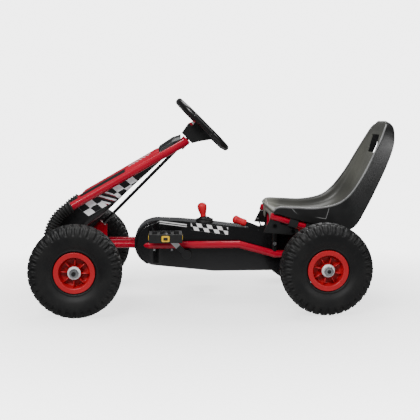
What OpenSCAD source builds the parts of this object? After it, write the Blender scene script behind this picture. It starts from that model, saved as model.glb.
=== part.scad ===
// Pedal go kart for one child: tube frame, four air-tyred wheels, chain drive,
// knuckle steering, a band handbrake and a moulded seat that slides on two rails.
// +X is forward, +Y is the driver's left, +Z is up; the ground is Z = 0.

/* [Stance] */
// Distance between the front and rear axles
wheelbase = 700; // [620:5:840]
// Distance between the left and right wheel mid-planes
track = 500; // [480:5:600]
// Place of the front axle ahead of the origin
front_x = 402; // [380:1:440]

/* [Wheels] */
// Outer radius of the tyres
tyre_r = 130; // [108:1:156]
// Width of the tyres
tyre_w = 85; // [70:1:90]
// Outer radius of the plastic rims
rim_r = 57; // [50:0.5:66]
// Width of the rims between their flanges
rim_w = 62; // [54:1:66]
// Number of ribs on a rim
rim_ribs = 8; // [5:1:12]
// Wall of the tyre casing
tyre_wall = 7; // [4:0.5:12]

/* [Frame] */
// Radius of the two side tubes
side_r = 11; // [9:0.5:13]
// Half distance between the side tubes ahead of the chain case
nose_half = 40; // [36:1:46]
// Half distance between the side tubes beside the chain case
side_half = 60; // [58:1:66]
// Radius of the front axle beam
beam_r = 13; // [10:0.5:16]
// Radius of the column and bumper tubes
column_r = 12; // [9:0.5:14]
// Radius of the seat rails
rail_r = 10; // [8:0.5:12]
// Half distance between the seat rails
rail_half = 128; // [118:1:130]

/* [Steering] */
// Rake of the steering shaft from the vertical
rake = 45; // [42:1:48]
// Height of the steering wheel over its width plane, outside
wheel_tall = 210; // [190:2:250]
// Width of the steering wheel, outside
wheel_wide = 264; // [230:2:300]
// Radius of the steering wheel's grip tube
grip_tube_r = 9.5; // [7:0.5:12]
// Radius of the steering shaft
shaft_r = 5; // [4:0.5:7]
// Length of the drop arm at the foot of the shaft
drop_arm = 50; // [42:1:52]
// Length of the knuckle arms
knuckle_arm = 65; // [55:1:70]
// Distance from the kingpin to the wheel mid-plane
kingpin_in = 65; // [62:1:70]
// Radius of the kingpins
kingpin_r = 5; // [4:0.5:6]
// Radius of the front stub axles
stub_r = 6; // [5:0.5:8]

/* [Drive] */
// Radius of the rear axle
axle_r = 9; // [7:0.5:10]
// Teeth on the chainring
ring_teeth = 18; // [16:1:18]
// Teeth on the rear sprocket
cog_teeth = 14; // [12:1:15]
// Pitch of the chain
pitch = 12.7; // [12.7]
// Length of the crank arms between centres
crank_len = 88; // [75:1:90]
// Radius of the crank's own axle
crank_r = 7.5; // [6:0.5:9]
// Angle of the left crank arm above the forward direction
crank_angle = 45; // [0:5:90]
// Width of a pedal along its pin
pedal_w = 88; // [70:1:90]
// Length of a pedal along the kart
pedal_len = 96; // [80:1:100]
// Thickness of a pedal
pedal_t = 24; // [18:1:28]

/* [Chain case] */
// Half width of the chain case
case_half = 46; // [42:1:48]
// Wall of the chain case
case_wall = 2.5; // [2:0.1:3]
// Radius of the round nose of the chain case
nose_r = 69; // [66:1:70]

/* [Seat] */
// Half width of the seat at its widest
seat_half = 145; // [130:1:150]
// Wall of the seat shell
seat_wall = 4; // [3:0.2:5]

/* [Fits] */
// Radial clearance of a shaft in its bush or bearing
run_gap = 0.06; // [0.02:0.01:0.1]
// Clearance between pieces that do not turn on each other
part_gap = 0.3; // [0.2:0.05:0.5]

/* [Hidden] */
$fn = 48;

rear_x = front_x - wheelbase;
axle_z = tyre_r;
wheel_y = track / 2;
kingpin_y = wheel_y - kingpin_in;

// Side tubes
tube_z = axle_z + 42;
tail_z = axle_z + 12;
spread_x = front_x - 140;
spread_end_x = spread_x - 62;
bend_x = rear_x + 228;
drop_x = rear_x + 120;
hanger_front_x = rear_x + 43;
hanger_rear_x = rear_x - 87;
hanger_t = 5;
tail_bar_x = rear_x - 74;
housing_r = 21;
weld_r = 0.4;

// Crank place
crank_x = front_x - 312;
crank_z = axle_z + 15;
crank_housing_r = 16;
arm_y = side_half + side_r + 5.5;
arm_t = 8;
pedal_y = arm_y + arm_t + 6;
pin_r = 5;

// Yokes and kingpins
yoke_t = 6;
yoke_half = 28;
yoke_reach = 15;
yoke_y = kingpin_y - 25;
knuckle_r = 13;

// Steering line: the shaft runs down and forward from the wheel's centre
sw_c = [front_x - 361, 0, axle_z + 402];
shaft_dir = [sin(rake), 0, -cos(rake)];
drop_pin = [0, 0, axle_z + 10];
shaft_len = (sw_c[2] - drop_pin[2] - drop_arm * sin(rake)) / cos(rake);
shaft_foot = sw_c + shaft_len * shaft_dir;
drop_x_end = shaft_foot[0] - drop_arm * cos(rake);
hub_depth = 61;
upper_t = 63;
upper_len = 32;
lower_t = 424;
lower_len = 30;
sleeve_r = 14;
bush_r = 9;
arm_plate_t = 5;
eye_t = 3;
eye_gap = 0.8;
eye_r = 9;
link_pin_r = 3;
knuckle_arm_z = axle_z + 10;

// Column tubes and bumper
column_top = [front_x - 316, 24, axle_z + 352];
column_foot = [front_x + 28, 120, axle_z + 162];
column_slope = atan2(column_top[2] - column_foot[2], column_foot[0] - column_top[0]);
bumper_bend = 115;
bumper_c = [column_foot[0] - bumper_bend * sin(column_slope),
            column_foot[2] - bumper_bend * cos(column_slope)];
bumper_low_z = axle_z + 20;
bumper_sleeve_r = 18;

// Seat rails slope down towards the back
rail_front = [rear_x + 143, axle_z + 136];
rail_slope = 16;
rail_len = 190;
cross_r = 9;
cross_at = [22, 168];
clamp_at = [70, 120];
clamp_half = 13;

// Gear lever and handbrake places
gear_x = crank_x - 60;
gear_z = axle_z + 85;
gear_swing = 12;
brake_x = rear_x + 133;
brake_y = 25;
brake_z = axle_z + 73;
brake_rise = 21.5;
cam_r = 14;
cam_pin_r = 3;
brake_pin_r = 3;
drum_r = 22;
drum_w = 12;
band_gap = 10;
pawl_x = rear_x + 157;
pawl_y = 38.5;
pawl_z = axle_z + 92;
pawl_pin_r = 2.5;

rim_face = rim_w / 2 + 4;
hub_r = 18;
bearing_r = 13;
bearing_w = 8;

// ---------- shared shapes ----------

// A straight round bar from a to b
module bar(a, b, r) {
  d = b - a;
  h = norm(d);
  translate(a) rotate([0, acos(d[2] / h), atan2(d[1], d[0])]) cylinder(h = h, r = r);
}

// Bars through a list of points, with a slightly fuller ball at each bend
module bar_run(pts, r) {
  for (i = [0 : len(pts) - 2]) bar(pts[i], pts[i + 1], r);
  for (i = [1 : 1 : len(pts) - 2]) translate(pts[i]) sphere(r + weld_r);
}

// A cylinder along Y, from y0 to y1, about x, z
module across(x, z, y0, y1, r) {
  translate([x, y1, z]) rotate([90, 0, 0]) cylinder(h = y1 - y0, r = r);
}

// Children on the right become their mirror image
module side(s) {
  if (s > 0) children();
  else mirror([0, 1, 0]) children();
}

// Children drawn flat in the X-Z plane, thickened from y0 to y1
module upright(y0, y1) {
  translate([0, y1, 0]) rotate([90, 0, 0]) linear_extrude(y1 - y0) children();
}

// Steering frame: local Z points up the shaft to the driver, t is measured down from the wheel
module at_steer(t) {
  translate(sw_c) rotate([0, -rake, 0]) translate([0, 0, -t]) children();
}

// Steering frame at the drop arm's pin, n above its mid-plane
module at_drop_pin(n) {
  translate([drop_x_end, 0, drop_pin[2]]) rotate([0, -rake, 0]) translate([0, 0, n]) children();
}

// Frame of the left or right wheel: local Z points outwards along the axle
module at_wheel(x, s) {
  translate([x, s * wheel_y, axle_z]) rotate([-s * 90, 0, 0]) children();
}

function unit(v) = v / norm(v);
function grid_normal(g, i, j) =
  let (n = len(g), m = len(g[0]),
       a = g[min(i + 1, n - 1)][j] - g[max(i - 1, 0)][j],
       b = g[i][min(j + 1, m - 1)] - g[i][max(j - 1, 0)])
  unit(cross(a, b));

// A thin closed sheet on a grid of points, its wall on the side away from the normals
module sheet(g, t) {
  n = len(g);
  m = len(g[0]);
  k = n * m;
  back = [for (i = [0 : n - 1]) [for (j = [0 : m - 1]) g[i][j] - t * grid_normal(g, i, j)]];
  pts = concat([for (r = g) for (p = r) p], [for (r = back) for (p = r) p]);
  front_faces = [for (i = [0 : n - 2]) for (j = [0 : m - 2])
    let (a = i * m + j, b = a + m, c = b + 1, d = a + 1) each [[a, d, c], [a, c, b]]];
  back_faces = [for (f = front_faces) [k + f[0], k + f[2], k + f[1]]];
  rim = concat([for (j = [0 : m - 2]) j],
               [for (i = [0 : n - 2]) i * m + m - 1],
               [for (j = [m - 1 : -1 : 1]) (n - 1) * m + j],
               [for (i = [n - 1 : -1 : 1]) i * m]);
  q = len(rim);
  edge_faces = [for (i = [0 : q - 1])
    let (a = rim[i], b = rim[(i + 1) % q]) each [[a, k + a, k + b], [a, k + b, b]]];
  polyhedron(points = pts, faces = concat(front_faces, back_faces, edge_faces), convexity = 8);
}

// ---------- frame ----------

module side_tube() {
  bar_run([[front_x, nose_half, axle_z], [front_x, nose_half, tube_z],
           [spread_x, nose_half, tube_z], [spread_end_x, side_half, tube_z],
           [bend_x, side_half, tube_z], [drop_x, side_half, tail_z],
           [hanger_front_x - 15, side_half, tail_z]], side_r);
}

module yoke() {
  plate_h = yoke_half + yoke_t;
  translate([-18 + front_x, yoke_y - yoke_t, axle_z - plate_h]) cube([36, yoke_t, 2 * plate_h]);
  for (z = [axle_z - plate_h, axle_z + yoke_half]) {
    translate([front_x - 15, yoke_y - 1, z]) cube([30, kingpin_y - yoke_y + 1, yoke_t]);
    translate([front_x, kingpin_y, z]) cylinder(h = yoke_t, r = yoke_reach);
  }
}

module rear_hanger() {
  y0 = side_half - hanger_t / 2;
  translate([hanger_rear_x, y0, axle_z - 22])
    cube([hanger_front_x - hanger_rear_x, hanger_t, 44]);
  across(rear_x, axle_z, case_half + part_gap, side_half + 12, housing_r);
}

module crank_hanger() {
  y0 = side_half - hanger_t / 2;
  translate([crank_x - crank_housing_r, y0, crank_z])
    cube([2 * crank_housing_r, hanger_t, tube_z - crank_z]);
  across(crank_x, crank_z, case_half + part_gap, side_half + 10, crank_housing_r);
}

module main_frame() {
  color("firebrick") difference() {
    union() {
      across(front_x, axle_z, -yoke_y + 1, yoke_y - 1, beam_r);
      across(tail_bar_x, tail_z, -side_half, side_half, cross_r);
      // Bridge plate and bracket that carry the foot of the steering shaft
      translate([front_x - 80, -nose_half, tube_z - 2]) cube([24, 2 * nose_half, 4]);
      for (s = [-1, 1]) side(s) {
        side_tube();
        yoke();
        rear_hanger();
        crank_hanger();
        translate([front_x - 72, 10, tube_z]) cube([28, 4, 56]);
      }
      at_steer(lower_t + lower_len) cylinder(h = lower_len, r = sleeve_r);
    }
    for (s = [-1, 1]) side(s) {
      translate([front_x, kingpin_y, axle_z - 60]) cylinder(h = 120, r = kingpin_r + part_gap / 3);
      across(rear_x, axle_z, side_half - 20, side_half + 20, housing_r - 4);
      across(crank_x, crank_z, side_half - 20, side_half + 20, crank_housing_r - 3);
    }
    at_steer(lower_t + lower_len + 5) cylinder(h = lower_len + 10, r = bush_r + 0.05);
    // Room for the shaft and drop arm through the bridge
    at_steer(shaft_len) cylinder(h = shaft_len - upper_t, r = shaft_r + 3);
  }
}

module column_side() {
  foot_low = [bumper_c[0] + bumper_bend, column_foot[1], bumper_low_z];
  bar(column_top, column_foot, column_r);
  translate(column_foot) sphere(column_r + weld_r);
  translate([bumper_c[0], column_foot[1], bumper_c[1]]) rotate([90, 0, 0])
    rotate_extrude(angle = 90 - column_slope) translate([bumper_bend, 0]) circle(column_r);
  bar([foot_low[0], foot_low[1], bumper_c[1]], foot_low, column_r);
  translate(foot_low) sphere(column_r + weld_r);
  bar(foot_low, [front_x, column_foot[1], axle_z], column_r);
}

module column_frame() {
  color("firebrick") difference() {
    union() {
      for (s = [-1, 1]) side(s) column_side();
      at_steer(upper_t + upper_len) cylinder(h = upper_len, r = sleeve_r);
    }
    at_steer(upper_t + upper_len + 5) cylinder(h = upper_len + 10, r = bush_r + 0.05);
    at_steer(upper_t) cylinder(h = hub_depth, r = 40);
    at_steer(upper_t + 110) cylinder(h = 110, r = shaft_r + 2);
    across(front_x, axle_z, -140, 140, beam_r + part_gap);
  }
}

module bumper_sleeve(s) {
  tail = 26;
  color("#1b1b1b") side(s) difference() {
    union() {
      translate([bumper_c[0], column_foot[1], bumper_c[1]]) rotate([90, 0, 0])
        rotate_extrude(angle = 86 - column_slope) translate([bumper_bend, 0])
          circle(bumper_sleeve_r);
      bar([bumper_c[0] + bumper_bend, column_foot[1], bumper_c[1]],
          [bumper_c[0] + bumper_bend, column_foot[1], bumper_c[1] - tail], bumper_sleeve_r);
    }
    translate([bumper_c[0], column_foot[1], bumper_c[1]]) rotate([90, 0, 0])
      rotate_extrude(angle = 90 - column_slope) translate([bumper_bend, 0])
        circle(column_r + part_gap);
    bar([bumper_c[0] + bumper_bend, column_foot[1], bumper_c[1]],
        [bumper_c[0] + bumper_bend, column_foot[1], bumper_c[1] - tail - 1],
        column_r + part_gap);
  }
}

// Height and half width of the column's centre line at x
function line_z(x) = column_foot[2] + (column_foot[0] - x) * tan(column_slope);
function line_y(x) = column_top[1] + (column_foot[1] - column_top[1])
  * (x - column_top[0]) / (column_foot[0] - column_top[0]);

// A crowned cover across the two column tubes, from x0 to x1
module crowned_cover(x0, x1, crown0, crown1, rows, cols, wall) {
  lift = (column_r + part_gap + wall) / cos(column_slope);
  g = [for (i = [0 : rows])
    let (x = x0 + (x1 - x0) * i / rows, w = line_y(x) - column_r / 4,
         c = crown0 + (crown1 - crown0) * i / rows)
    [for (j = [0 : cols])
      let (u = 2 * j / cols - 1) [x, u * w, line_z(x) + lift + c * (1 - u * u)]]];
  sheet(g, wall);
}

module hood_panel() {
  color("firebrick") crowned_cover(front_x - 232, front_x - 4, 9, 3, 6, 8, 2.5);
}

module column_cap() {
  color("#1b1b1b") crowned_cover(front_x - 296, front_x - 232.5, 19, 12, 4, 8, 2.5);
}

// Nose fairing: a tray hung between the column tubes that deepens towards the axle
module nose_fairing() {
  drop = [8, 40, 70, 72, 76, 60, 44];
  top_x = [160, 246, 332, 392, 430, 456, 466];
  top_back = [0, 0, 0, 0, 2, 14, 36];
  run = [0, 4, 0, -12, -30, -42, -40];
  shift = front_x - 402;
  g = [for (i = [0 : len(drop) - 1])
    let (x = top_x[i] + shift, w = min(line_y(x), column_foot[1] - 6) - column_r - 2,
         z = line_z(x) - 6 - top_back[i], f = w * 0.82,
         xb = x + run[i], zb = z - drop[i])
    [[x, -w, z], [(x + 3 * xb) / 4, -w, (z + 3 * zb) / 4], [xb, -f, zb], [xb, 0, zb],
     [xb, f, zb], [(x + 3 * xb) / 4, w, (z + 3 * zb) / 4], [x, w, z]]];
  color("#1b1b1b") sheet(g, 2.5);
}

module steering_bushes() {
  color("ivory") for (t = [upper_t + upper_len, lower_t + lower_len]) at_steer(t)
    difference() {
      cylinder(h = upper_t + upper_len == t ? upper_len : lower_len, r = bush_r);
      translate([0, 0, -1]) cylinder(h = 50, r = shaft_r + run_gap);
    }
}

// ---------- chain case ----------

case_tail_c = [rear_x - 2, axle_z + 10];
case_tail_r = 50;
nose_c = [front_x - 225, axle_z + 46];

// Side outline of the chain case, drawn in by w
function case_outline(w) = concat(
  [for (a = [90 : -9 : -90]) nose_c + (nose_r - w) * [cos(a), sin(a)]],
  [[front_x - 396, axle_z - 41 + w]],
  [for (a = [-90 : -15 : -270]) case_tail_c + (case_tail_r - w) * [cos(a), sin(a)]],
  [[rear_x + 87, axle_z + 75.5 - w], [front_x - 375, axle_z + 105 - w],
   [front_x - 290, axle_z + 112.5 - w]]);

module case_half_shell(s) {
  cheek_y = case_half + 17;
  color("#1b1b1b") side(s) difference() {
    union() {
      upright(part_gap / 2, case_half) polygon(case_outline(0));
      intersection() {
        across(nose_c[0], nose_c[1], case_half - 1, cheek_y, nose_r - 1);
        translate([spread_end_x + 6, 0, 0]) cube([100, cheek_y, 400]);
      }
    }
    upright(-1, case_half - case_wall) polygon(case_outline(case_wall));
    intersection() {
      across(nose_c[0], nose_c[1], case_half - 10, cheek_y - case_wall, nose_r - 1 - case_wall);
      translate([spread_end_x, 0, 0]) cube([100, cheek_y, 400]);
    }
    // The side tubes enter the nose and run clear of it
    bar([front_x, nose_half, tube_z], [spread_x, nose_half, tube_z], side_r + 1.5);
    translate([spread_x, nose_half, tube_z]) sphere(side_r + 1.5);
    bar([spread_x, nose_half, tube_z], [spread_end_x, side_half, tube_z], side_r + 1.5);
    across(crank_x, crank_z, 0, case_half + 5, crank_r + 3);
    across(rear_x, axle_z, 0, case_half + 5, axle_r + 3);
    // Slots for the gear lever and the handbrake
    translate([gear_x + 2, 0, gear_z + 30]) cube([34, 36, 60], center = true);
    if (s > 0) translate([brake_x - 18, brake_y - 6, brake_z - 22]) cube([90, 12, 60]);
  }
  if (s > 0) color("#1b1b1b") difference() {
    // Lugs for the handbrake's pivot hang from the roof, and two carry the pawl above it
    union() {
      for (y = [brake_y - 13, brake_y + 8.5]) translate([brake_x - 8, y, brake_z - 8])
        cube([16, 4.5, axle_z + 79 - brake_z + 8]);
      for (y = [pawl_y - 6, pawl_y + 2.5]) translate([pawl_x - 7, y, axle_z + 82])
        cube([14, 3.5, pawl_z + 5 - axle_z - 82]);
    }
    across(brake_x, brake_z, 0, 60, brake_pin_r + run_gap);
    across(pawl_x, pawl_z, 0, 60, pawl_pin_r + run_gap);
  }
}

module crank_bearings() {
  color("silver") for (s = [-1, 1]) side(s) difference() {
    across(crank_x, crank_z, side_half - 8, side_half + 8, crank_housing_r - 3 - 0.05);
    across(crank_x, crank_z, side_half - 20, side_half + 20, crank_r + run_gap);
  }
}

module axle_bearings() {
  color("silver") for (s = [-1, 1]) side(s) difference() {
    across(rear_x, axle_z, side_half - 10, side_half + 10, housing_r - 4 - 0.05);
    across(rear_x, axle_z, side_half - 20, side_half + 20, axle_r + run_gap);
  }
}

// ---------- seat carriage ----------

// Point on a rail's centre line, l behind its front end
function rail_at(l) = [rail_front[0] - l * cos(rail_slope), rail_front[1] - l * sin(rail_slope)];

module seat_frame() {
  a = rail_at(0);
  b = rail_at(rail_len);
  color("firebrick") for (s = [-1, 1]) side(s) difference() {
    union() {
      bar([a[0], rail_half, a[1]], [b[0], rail_half, b[1]], rail_r);
      for (l = cross_at) {
        c = rail_at(l);
        foot_z = c[0] > hanger_front_x ? tail_z : axle_z + 22 + part_gap;
        across(c[0], c[1], 0, rail_half, cross_r);
        translate([c[0], side_half, foot_z]) cylinder(h = c[1] - foot_z, r = 8);
      }
    }
    // The front posts are mitred to stand on the side tubes
    bar([bend_x, side_half, tube_z], [drop_x, side_half, tail_z], side_r + part_gap);
    translate([drop_x, side_half, tail_z]) sphere(side_r + weld_r + part_gap);
    bar([drop_x, side_half, tail_z], [hanger_front_x - 15, side_half, tail_z], side_r + part_gap);
  }
}

// Outline in rail terms: l behind the rail's front end, d above its centre line
function rail_point(l, d) = rail_at(l) + d * [-sin(rail_slope), cos(rail_slope)];

module seat_brackets() {
  top = -rail_r - part_gap;
  color("#1b1b1b") for (s = [-1, 1]) side(s) upright(rail_half - 3, rail_half + 3)
    polygon([for (p = [[2, top], [34, top], [34, -clamp_half - 2], [88, -clamp_half - 2],
                       [96, -24], [72, -38], [-6, -52]]) rail_point(p[0], p[1])]);
}

module gear_gate() {
  top = axle_z + 104;
  color("#1b1b1b") difference() {
    union() {
      difference() {
        translate([gear_x + 2, 0, top - 4]) cylinder(h = 14, r = 26);
        translate([gear_x + 2, 0, top - 5]) cylinder(h = 20, r = 14);
        upright(-30, 30) polygon(case_outline(-part_gap));
      }
      // Ears reach down through the slot and hold the lever's pivot
      for (s = [-1, 1]) side(s) translate([gear_x - 7, 12 + part_gap, gear_z - 8])
        cube([14, 3.5, top + 6 - gear_z + 8]);
    }
    across(gear_x, gear_z, -30, 30, 3 + run_gap);
  }
}

// ---------- chain and gears ----------

function pitch_r(teeth) = pitch / (2 * sin(180 / teeth));
ring_r = pitch_r(ring_teeth);
cog_r = pitch_r(cog_teeth);
chain_run = norm([crank_x - rear_x, crank_z - axle_z]);
chain_tilt = atan2(crank_z - axle_z, crank_x - rear_x);
chain_lean = asin((ring_r - cog_r) / chain_run);

// Closed outline round both gears, set off by d from the pitch line
function loop_outline(d) = concat(
  [for (a = [90 + chain_lean : -10 : -90 - chain_lean]) [chain_run, 0] + (ring_r + d) * [cos(a), sin(a)]],
  [for (a = [-90 - chain_lean : -10 : -270 + chain_lean]) (cog_r + d) * [cos(a), sin(a)]]);

module chain() {
  outer = loop_outline(3.8);
  inner = loop_outline(-3.8);
  n = len(outer);
  span = chain_run * cos(chain_lean);
  links = floor((span - 60) / pitch);
  color("dimgray") translate([rear_x, 0, axle_z]) rotate([0, -chain_tilt, 0]) {
    for (y = [-3.3, 1.7]) upright(y, y + 1.6)
      polygon(concat(outer, inner),
              [[for (i = [0 : n - 1]) i], [for (i = [0 : len(inner) - 1]) n + i]]);
    for (s = [-1, 1]) for (i = [0 : links]) {
      l = 30 + i * pitch;
      across(l, s * (cog_r + (ring_r - cog_r) * l / span), -3.6, 3.6, 2.4);
    }
  }
}

module toothed_disc(teeth, t) {
  r = pitch_r(teeth);
  step = 360 / teeth;
  linear_extrude(t, center = true)
    polygon([for (i = [0 : teeth - 1]) for (k = [[-0.34, -4.2], [-0.16, 3.2], [0.16, 3.2], [0.34, -4.2]])
      (r + k[1]) * [cos((i + k[0]) * step), sin((i + k[0]) * step)]]);
}

// A chain gear with its hub, bored to sit on a shaft
module chain_gear(x, z, teeth, hub, bore) {
  difference() {
    union() {
      translate([x, 0, z]) rotate([90, 0, 0]) toothed_disc(teeth, 2.4);
      across(x, z, -hub[1] / 2, hub[1] / 2, hub[0]);
    }
    across(x, z, -40, 40, bore);
  }
}

// ---------- steering ----------

module steering_wheel() {
  r = grip_tube_r;
  hx = wheel_tall / 2 - r;
  hy = wheel_wide / 2 - r;
  corner = 62;
  color("#1b1b1b") at_steer(0) {
    for (sx = [-1, 1]) for (sy = [-1, 1])
      translate([sx * (hx - corner), sy * (hy - corner), 0])
        rotate([0, 0, sx > 0 ? (sy > 0 ? 0 : 270) : (sy > 0 ? 90 : 180)])
          rotate_extrude(angle = 90) translate([corner, 0]) circle(r);
    for (sx = [-1, 1]) translate([sx * hx, 0, 0]) rotate([90, 0, 0])
      cylinder(h = 2 * (hy - corner), r = r, center = true);
    for (sy = [-1, 1]) translate([0, sy * hy, 0]) rotate([0, 90, 0])
      cylinder(h = 2 * (hx - corner), r = r, center = true);
    translate([-18, -hy + 4, -4]) cube([36, 2 * hy - 8, 6]);
    translate([-hx + 4, -16, -4]) cube([hx, 32, 6]);
  }
}

// Hub block under the wheel: deep at the column, thin towards the driver
module steering_hub() {
  color("#222222") difference() {
    at_steer(0) rotate([90, 0, 0]) translate([0, 0, -33]) linear_extrude(66)
      polygon([[-19, -hub_depth], [24, -hub_depth], [30, -26], [22, -4 - part_gap],
               [-44, -4 - part_gap], [-52, -12], [-30, -42]]);
    at_steer(hub_depth + 1) cylinder(h = hub_depth - 12, r = shaft_r + 0.05);
  }
}

module steering_shaft() {
  color("#1b1b1b") {
    difference() {
      union() {
        at_steer(shaft_len + 3) cylinder(h = shaft_len + 3 - 16, r = shaft_r);
        at_steer(shaft_len + arm_plate_t / 2) linear_extrude(arm_plate_t) {
          translate([-drop_arm, -6]) square([drop_arm, 12]);
          circle(9);
          translate([-drop_arm, 0]) circle(eye_r);
        }
      }
    }
    at_drop_pin(-17) cylinder(h = 24, r = link_pin_r);
    at_drop_pin(-18) cylinder(h = 3, r = 5.5);
  }
}

module knuckle(s) {
  color("#2a2a2a") side(s) difference() {
    union() {
      translate([front_x, kingpin_y, axle_z - yoke_half + part_gap])
        cylinder(h = 2 * (yoke_half - part_gap), r = knuckle_r);
      across(front_x, axle_z, kingpin_y, wheel_y - rim_w / 2 + 0.7, stub_r + 4);
      across(front_x, axle_z, kingpin_y, wheel_y + rim_face + 14, stub_r);
      translate([front_x - knuckle_arm, kingpin_y - 8, knuckle_arm_z - 3])
        cube([knuckle_arm, 16, 6]);
      translate([front_x - knuckle_arm, kingpin_y, knuckle_arm_z - 3]) cylinder(h = 6, r = 8);
      translate([front_x - knuckle_arm, kingpin_y, knuckle_arm_z]) cylinder(h = 12, r = link_pin_r);
    }
    translate([front_x, kingpin_y, axle_z - 50]) cylinder(h = 100, r = kingpin_r + run_gap);
  }
}

module tie_rod(s) {
  n = s > 0 ? -arm_plate_t / 2 - eye_gap - eye_t : -arm_plate_t / 2 - 2 * (eye_gap + eye_t);
  eye = [drop_x_end + sin(rake) * -n, 0, drop_pin[2] + cos(rake) * (n + eye_t / 2)];
  end_z = knuckle_arm_z + 3 + part_gap;
  a = [front_x - knuckle_arm + 1, kingpin_y - 7, end_z + 4];
  b = [eye[0], 15, eye[2]];
  color("silver") side(s) difference() {
    union() {
      bar(a, b, 4);
      translate([front_x - knuckle_arm, kingpin_y, end_z]) cylinder(h = 8, r = 8);
      at_drop_pin(n) linear_extrude(eye_t) {
        circle(eye_r);
        translate([-4, 0]) square([8, 16]);
      }
    }
    translate([front_x - knuckle_arm, kingpin_y, end_z - 1]) cylinder(h = 12, r = link_pin_r + run_gap);
    at_drop_pin(n - 1) for (k = [0, 2, 4.2]) translate([k, 0, 0]) cylinder(h = eye_t + 2, r = link_pin_r + 0.6);
  }
}

module king_pins() {
  color("silver") for (s = [-1, 1]) side(s) {
    translate([front_x, kingpin_y, axle_z - yoke_half - yoke_t - 6])
      cylinder(h = 2 * (yoke_half + yoke_t) + 6 + part_gap, r = kingpin_r);
    translate([front_x, kingpin_y, axle_z + yoke_half + yoke_t + part_gap])
      cylinder(h = 5, r = 9, $fn = 6);
  }
}

// ---------- wheels ----------

// Hollow tyre casing: bead, bulged wall, shoulder and flat tread
module tyre(x, s) {
  h = tyre_w / 2;
  b = rim_w / 2 - 3;
  base = rim_r + part_gap;
  w = tyre_wall;
  half = [[base, b], [rim_r + 14, b + 5], [rim_r + 28, h - 1], [tyre_r - 16, h],
          [tyre_r - 6, h - 7], [tyre_r, h - 17]];
  inner = [[base, b - w], [rim_r + 12, b - 3], [rim_r + 28, h - 1 - w],
           [tyre_r - 18, h - w], [tyre_r - w - 4, h - 17], [tyre_r - w - 1, h - 24]];
  color("#202020") at_wheel(x, s) rotate_extrude()
    polygon(concat(half, [for (i = [len(half) - 1 : -1 : 0]) [half[i][0], -half[i][1]]],
                   [for (p = inner) [p[0], -p[1]]],
                   [for (i = [len(inner) - 1 : -1 : 0]) inner[i]]));
}

// Moulded rim: bright outer ring, coned dish, hub and radial ribs
module rim(x, s, bore, hub_bore, phase) {
  f = rim_face;
  color("orangered") at_wheel(x, s) difference() {
    union() {
      rotate_extrude() polygon([[rim_r - 15, f], [rim_r, f], [rim_r, -f + 2], [rim_r - 5, -f + 2],
        [rim_r - 5, 2], [rim_r - 17, 2], [hub_r, -6], [hub_r, -rim_w / 2 + 2],
        [bearing_r - 7, -rim_w / 2 + 2], [bearing_r - 7, rim_w / 2 - 2], [hub_r, rim_w / 2 - 2],
        [hub_r, 2], [rim_r - 19, 8], [rim_r - 15, f - 8]]);
      for (i = [0 : rim_ribs - 1]) rotate([0, 0, phase + i * 360 / rim_ribs])
        translate([hub_r - 1, -2, -2]) cube([rim_r - 14 - hub_r, 4, rim_w / 2 - 8]);
    }
    translate([0, 0, -60]) cylinder(h = 120, r = bore);
    for (e = [-1, 1]) translate([0, 0, e * (rim_w / 2 - 2)])
      cylinder(h = 2 * bearing_w, r = hub_bore, center = true);
  }
}

module wheel_bearings(x, s) {
  color("silver") at_wheel(x, s) for (e = [-1, 1])
    translate([0, 0, e * (rim_w / 2 - 2) - e * bearing_w / 2]) difference() {
      cylinder(h = bearing_w - 0.4, r = bearing_r, center = true);
      cylinder(h = bearing_w + 2, r = stub_r + run_gap, center = true);
    }
}

module hub_cap(x, s, bore) {
  z0 = rim_w / 2 - 2 + 0.2;
  color("whitesmoke") at_wheel(x, s) difference() {
    rotate_extrude() polygon([[0, z0], [hub_r, z0], [hub_r, z0 + 3], [hub_r - 4, z0 + 6], [0, z0 + 6]]);
    translate([0, 0, z0 - 1]) cylinder(h = 12, r = bore);
  }
}

module axle_nut(x, s, bore) {
  color("silver") at_wheel(x, s) translate([0, 0, rim_w / 2 - 2 + 6.8]) difference() {
    union() {
      cylinder(h = 1.6, r = 13);
      translate([0, 0, 1.6]) cylinder(h = 7, r = bore + 5.2, $fn = 6);
    }
    translate([0, 0, -1]) cylinder(h = 12, r = bore + 0.03);
  }
}

// ---------- rear axle and brake ----------

module rear_axle() {
  l = wheel_y + rim_face + 12;
  color("silver") across(rear_x, axle_z, -l, l, axle_r);
}

module brake_drum() {
  color("silver") difference() {
    across(rear_x, axle_z, brake_y - drum_w / 2, brake_y + drum_w / 2, drum_r);
    across(rear_x, axle_z, 0, 60, axle_r + 0.03);
  }
}

// Band round the back of the drum, pulled forward by a rod from the handbrake's cam
module brake_band() {
  r = drum_r + band_gap;
  h = 4;
  eye = [brake_x, brake_z - cam_r];
  color("dimgray") difference() {
    union() {
      difference() {
        across(rear_x, axle_z, brake_y - h, brake_y + h, r + 3);
        across(rear_x, axle_z, 0, 60, r);
        translate([rear_x, 0, axle_z - 60]) cube([80, 80, 120]);
      }
      for (z = [axle_z - r - 3, axle_z + r]) translate([rear_x - 0.5, brake_y - h, z])
        cube([41, 2 * h, 3]);
      translate([rear_x + 38, brake_y - h, axle_z - r - 3]) cube([4, 2 * h, 2 * r + 6]);
      bar([rear_x + 40, brake_y, axle_z + 22], [eye[0] - 11, brake_y, eye[1]], 2.5);
      across(eye[0], eye[1], brake_y - 8, brake_y - 3.5, 9.2);
      across(eye[0], eye[1], brake_y + 3.5, brake_y + 8, 9.2);
      translate([eye[0] - 13, brake_y - 8, eye[1] - 4]) cube([6, 16, 8]);
    }
    across(eye[0], eye[1], 0, 60, cam_pin_r + 3.2);
    translate([eye[0] - 9, brake_y - 3.5, eye[1] - 9.4]) cube([20, 7, 18.8]);
  }
}

// ---------- crank ----------

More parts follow.
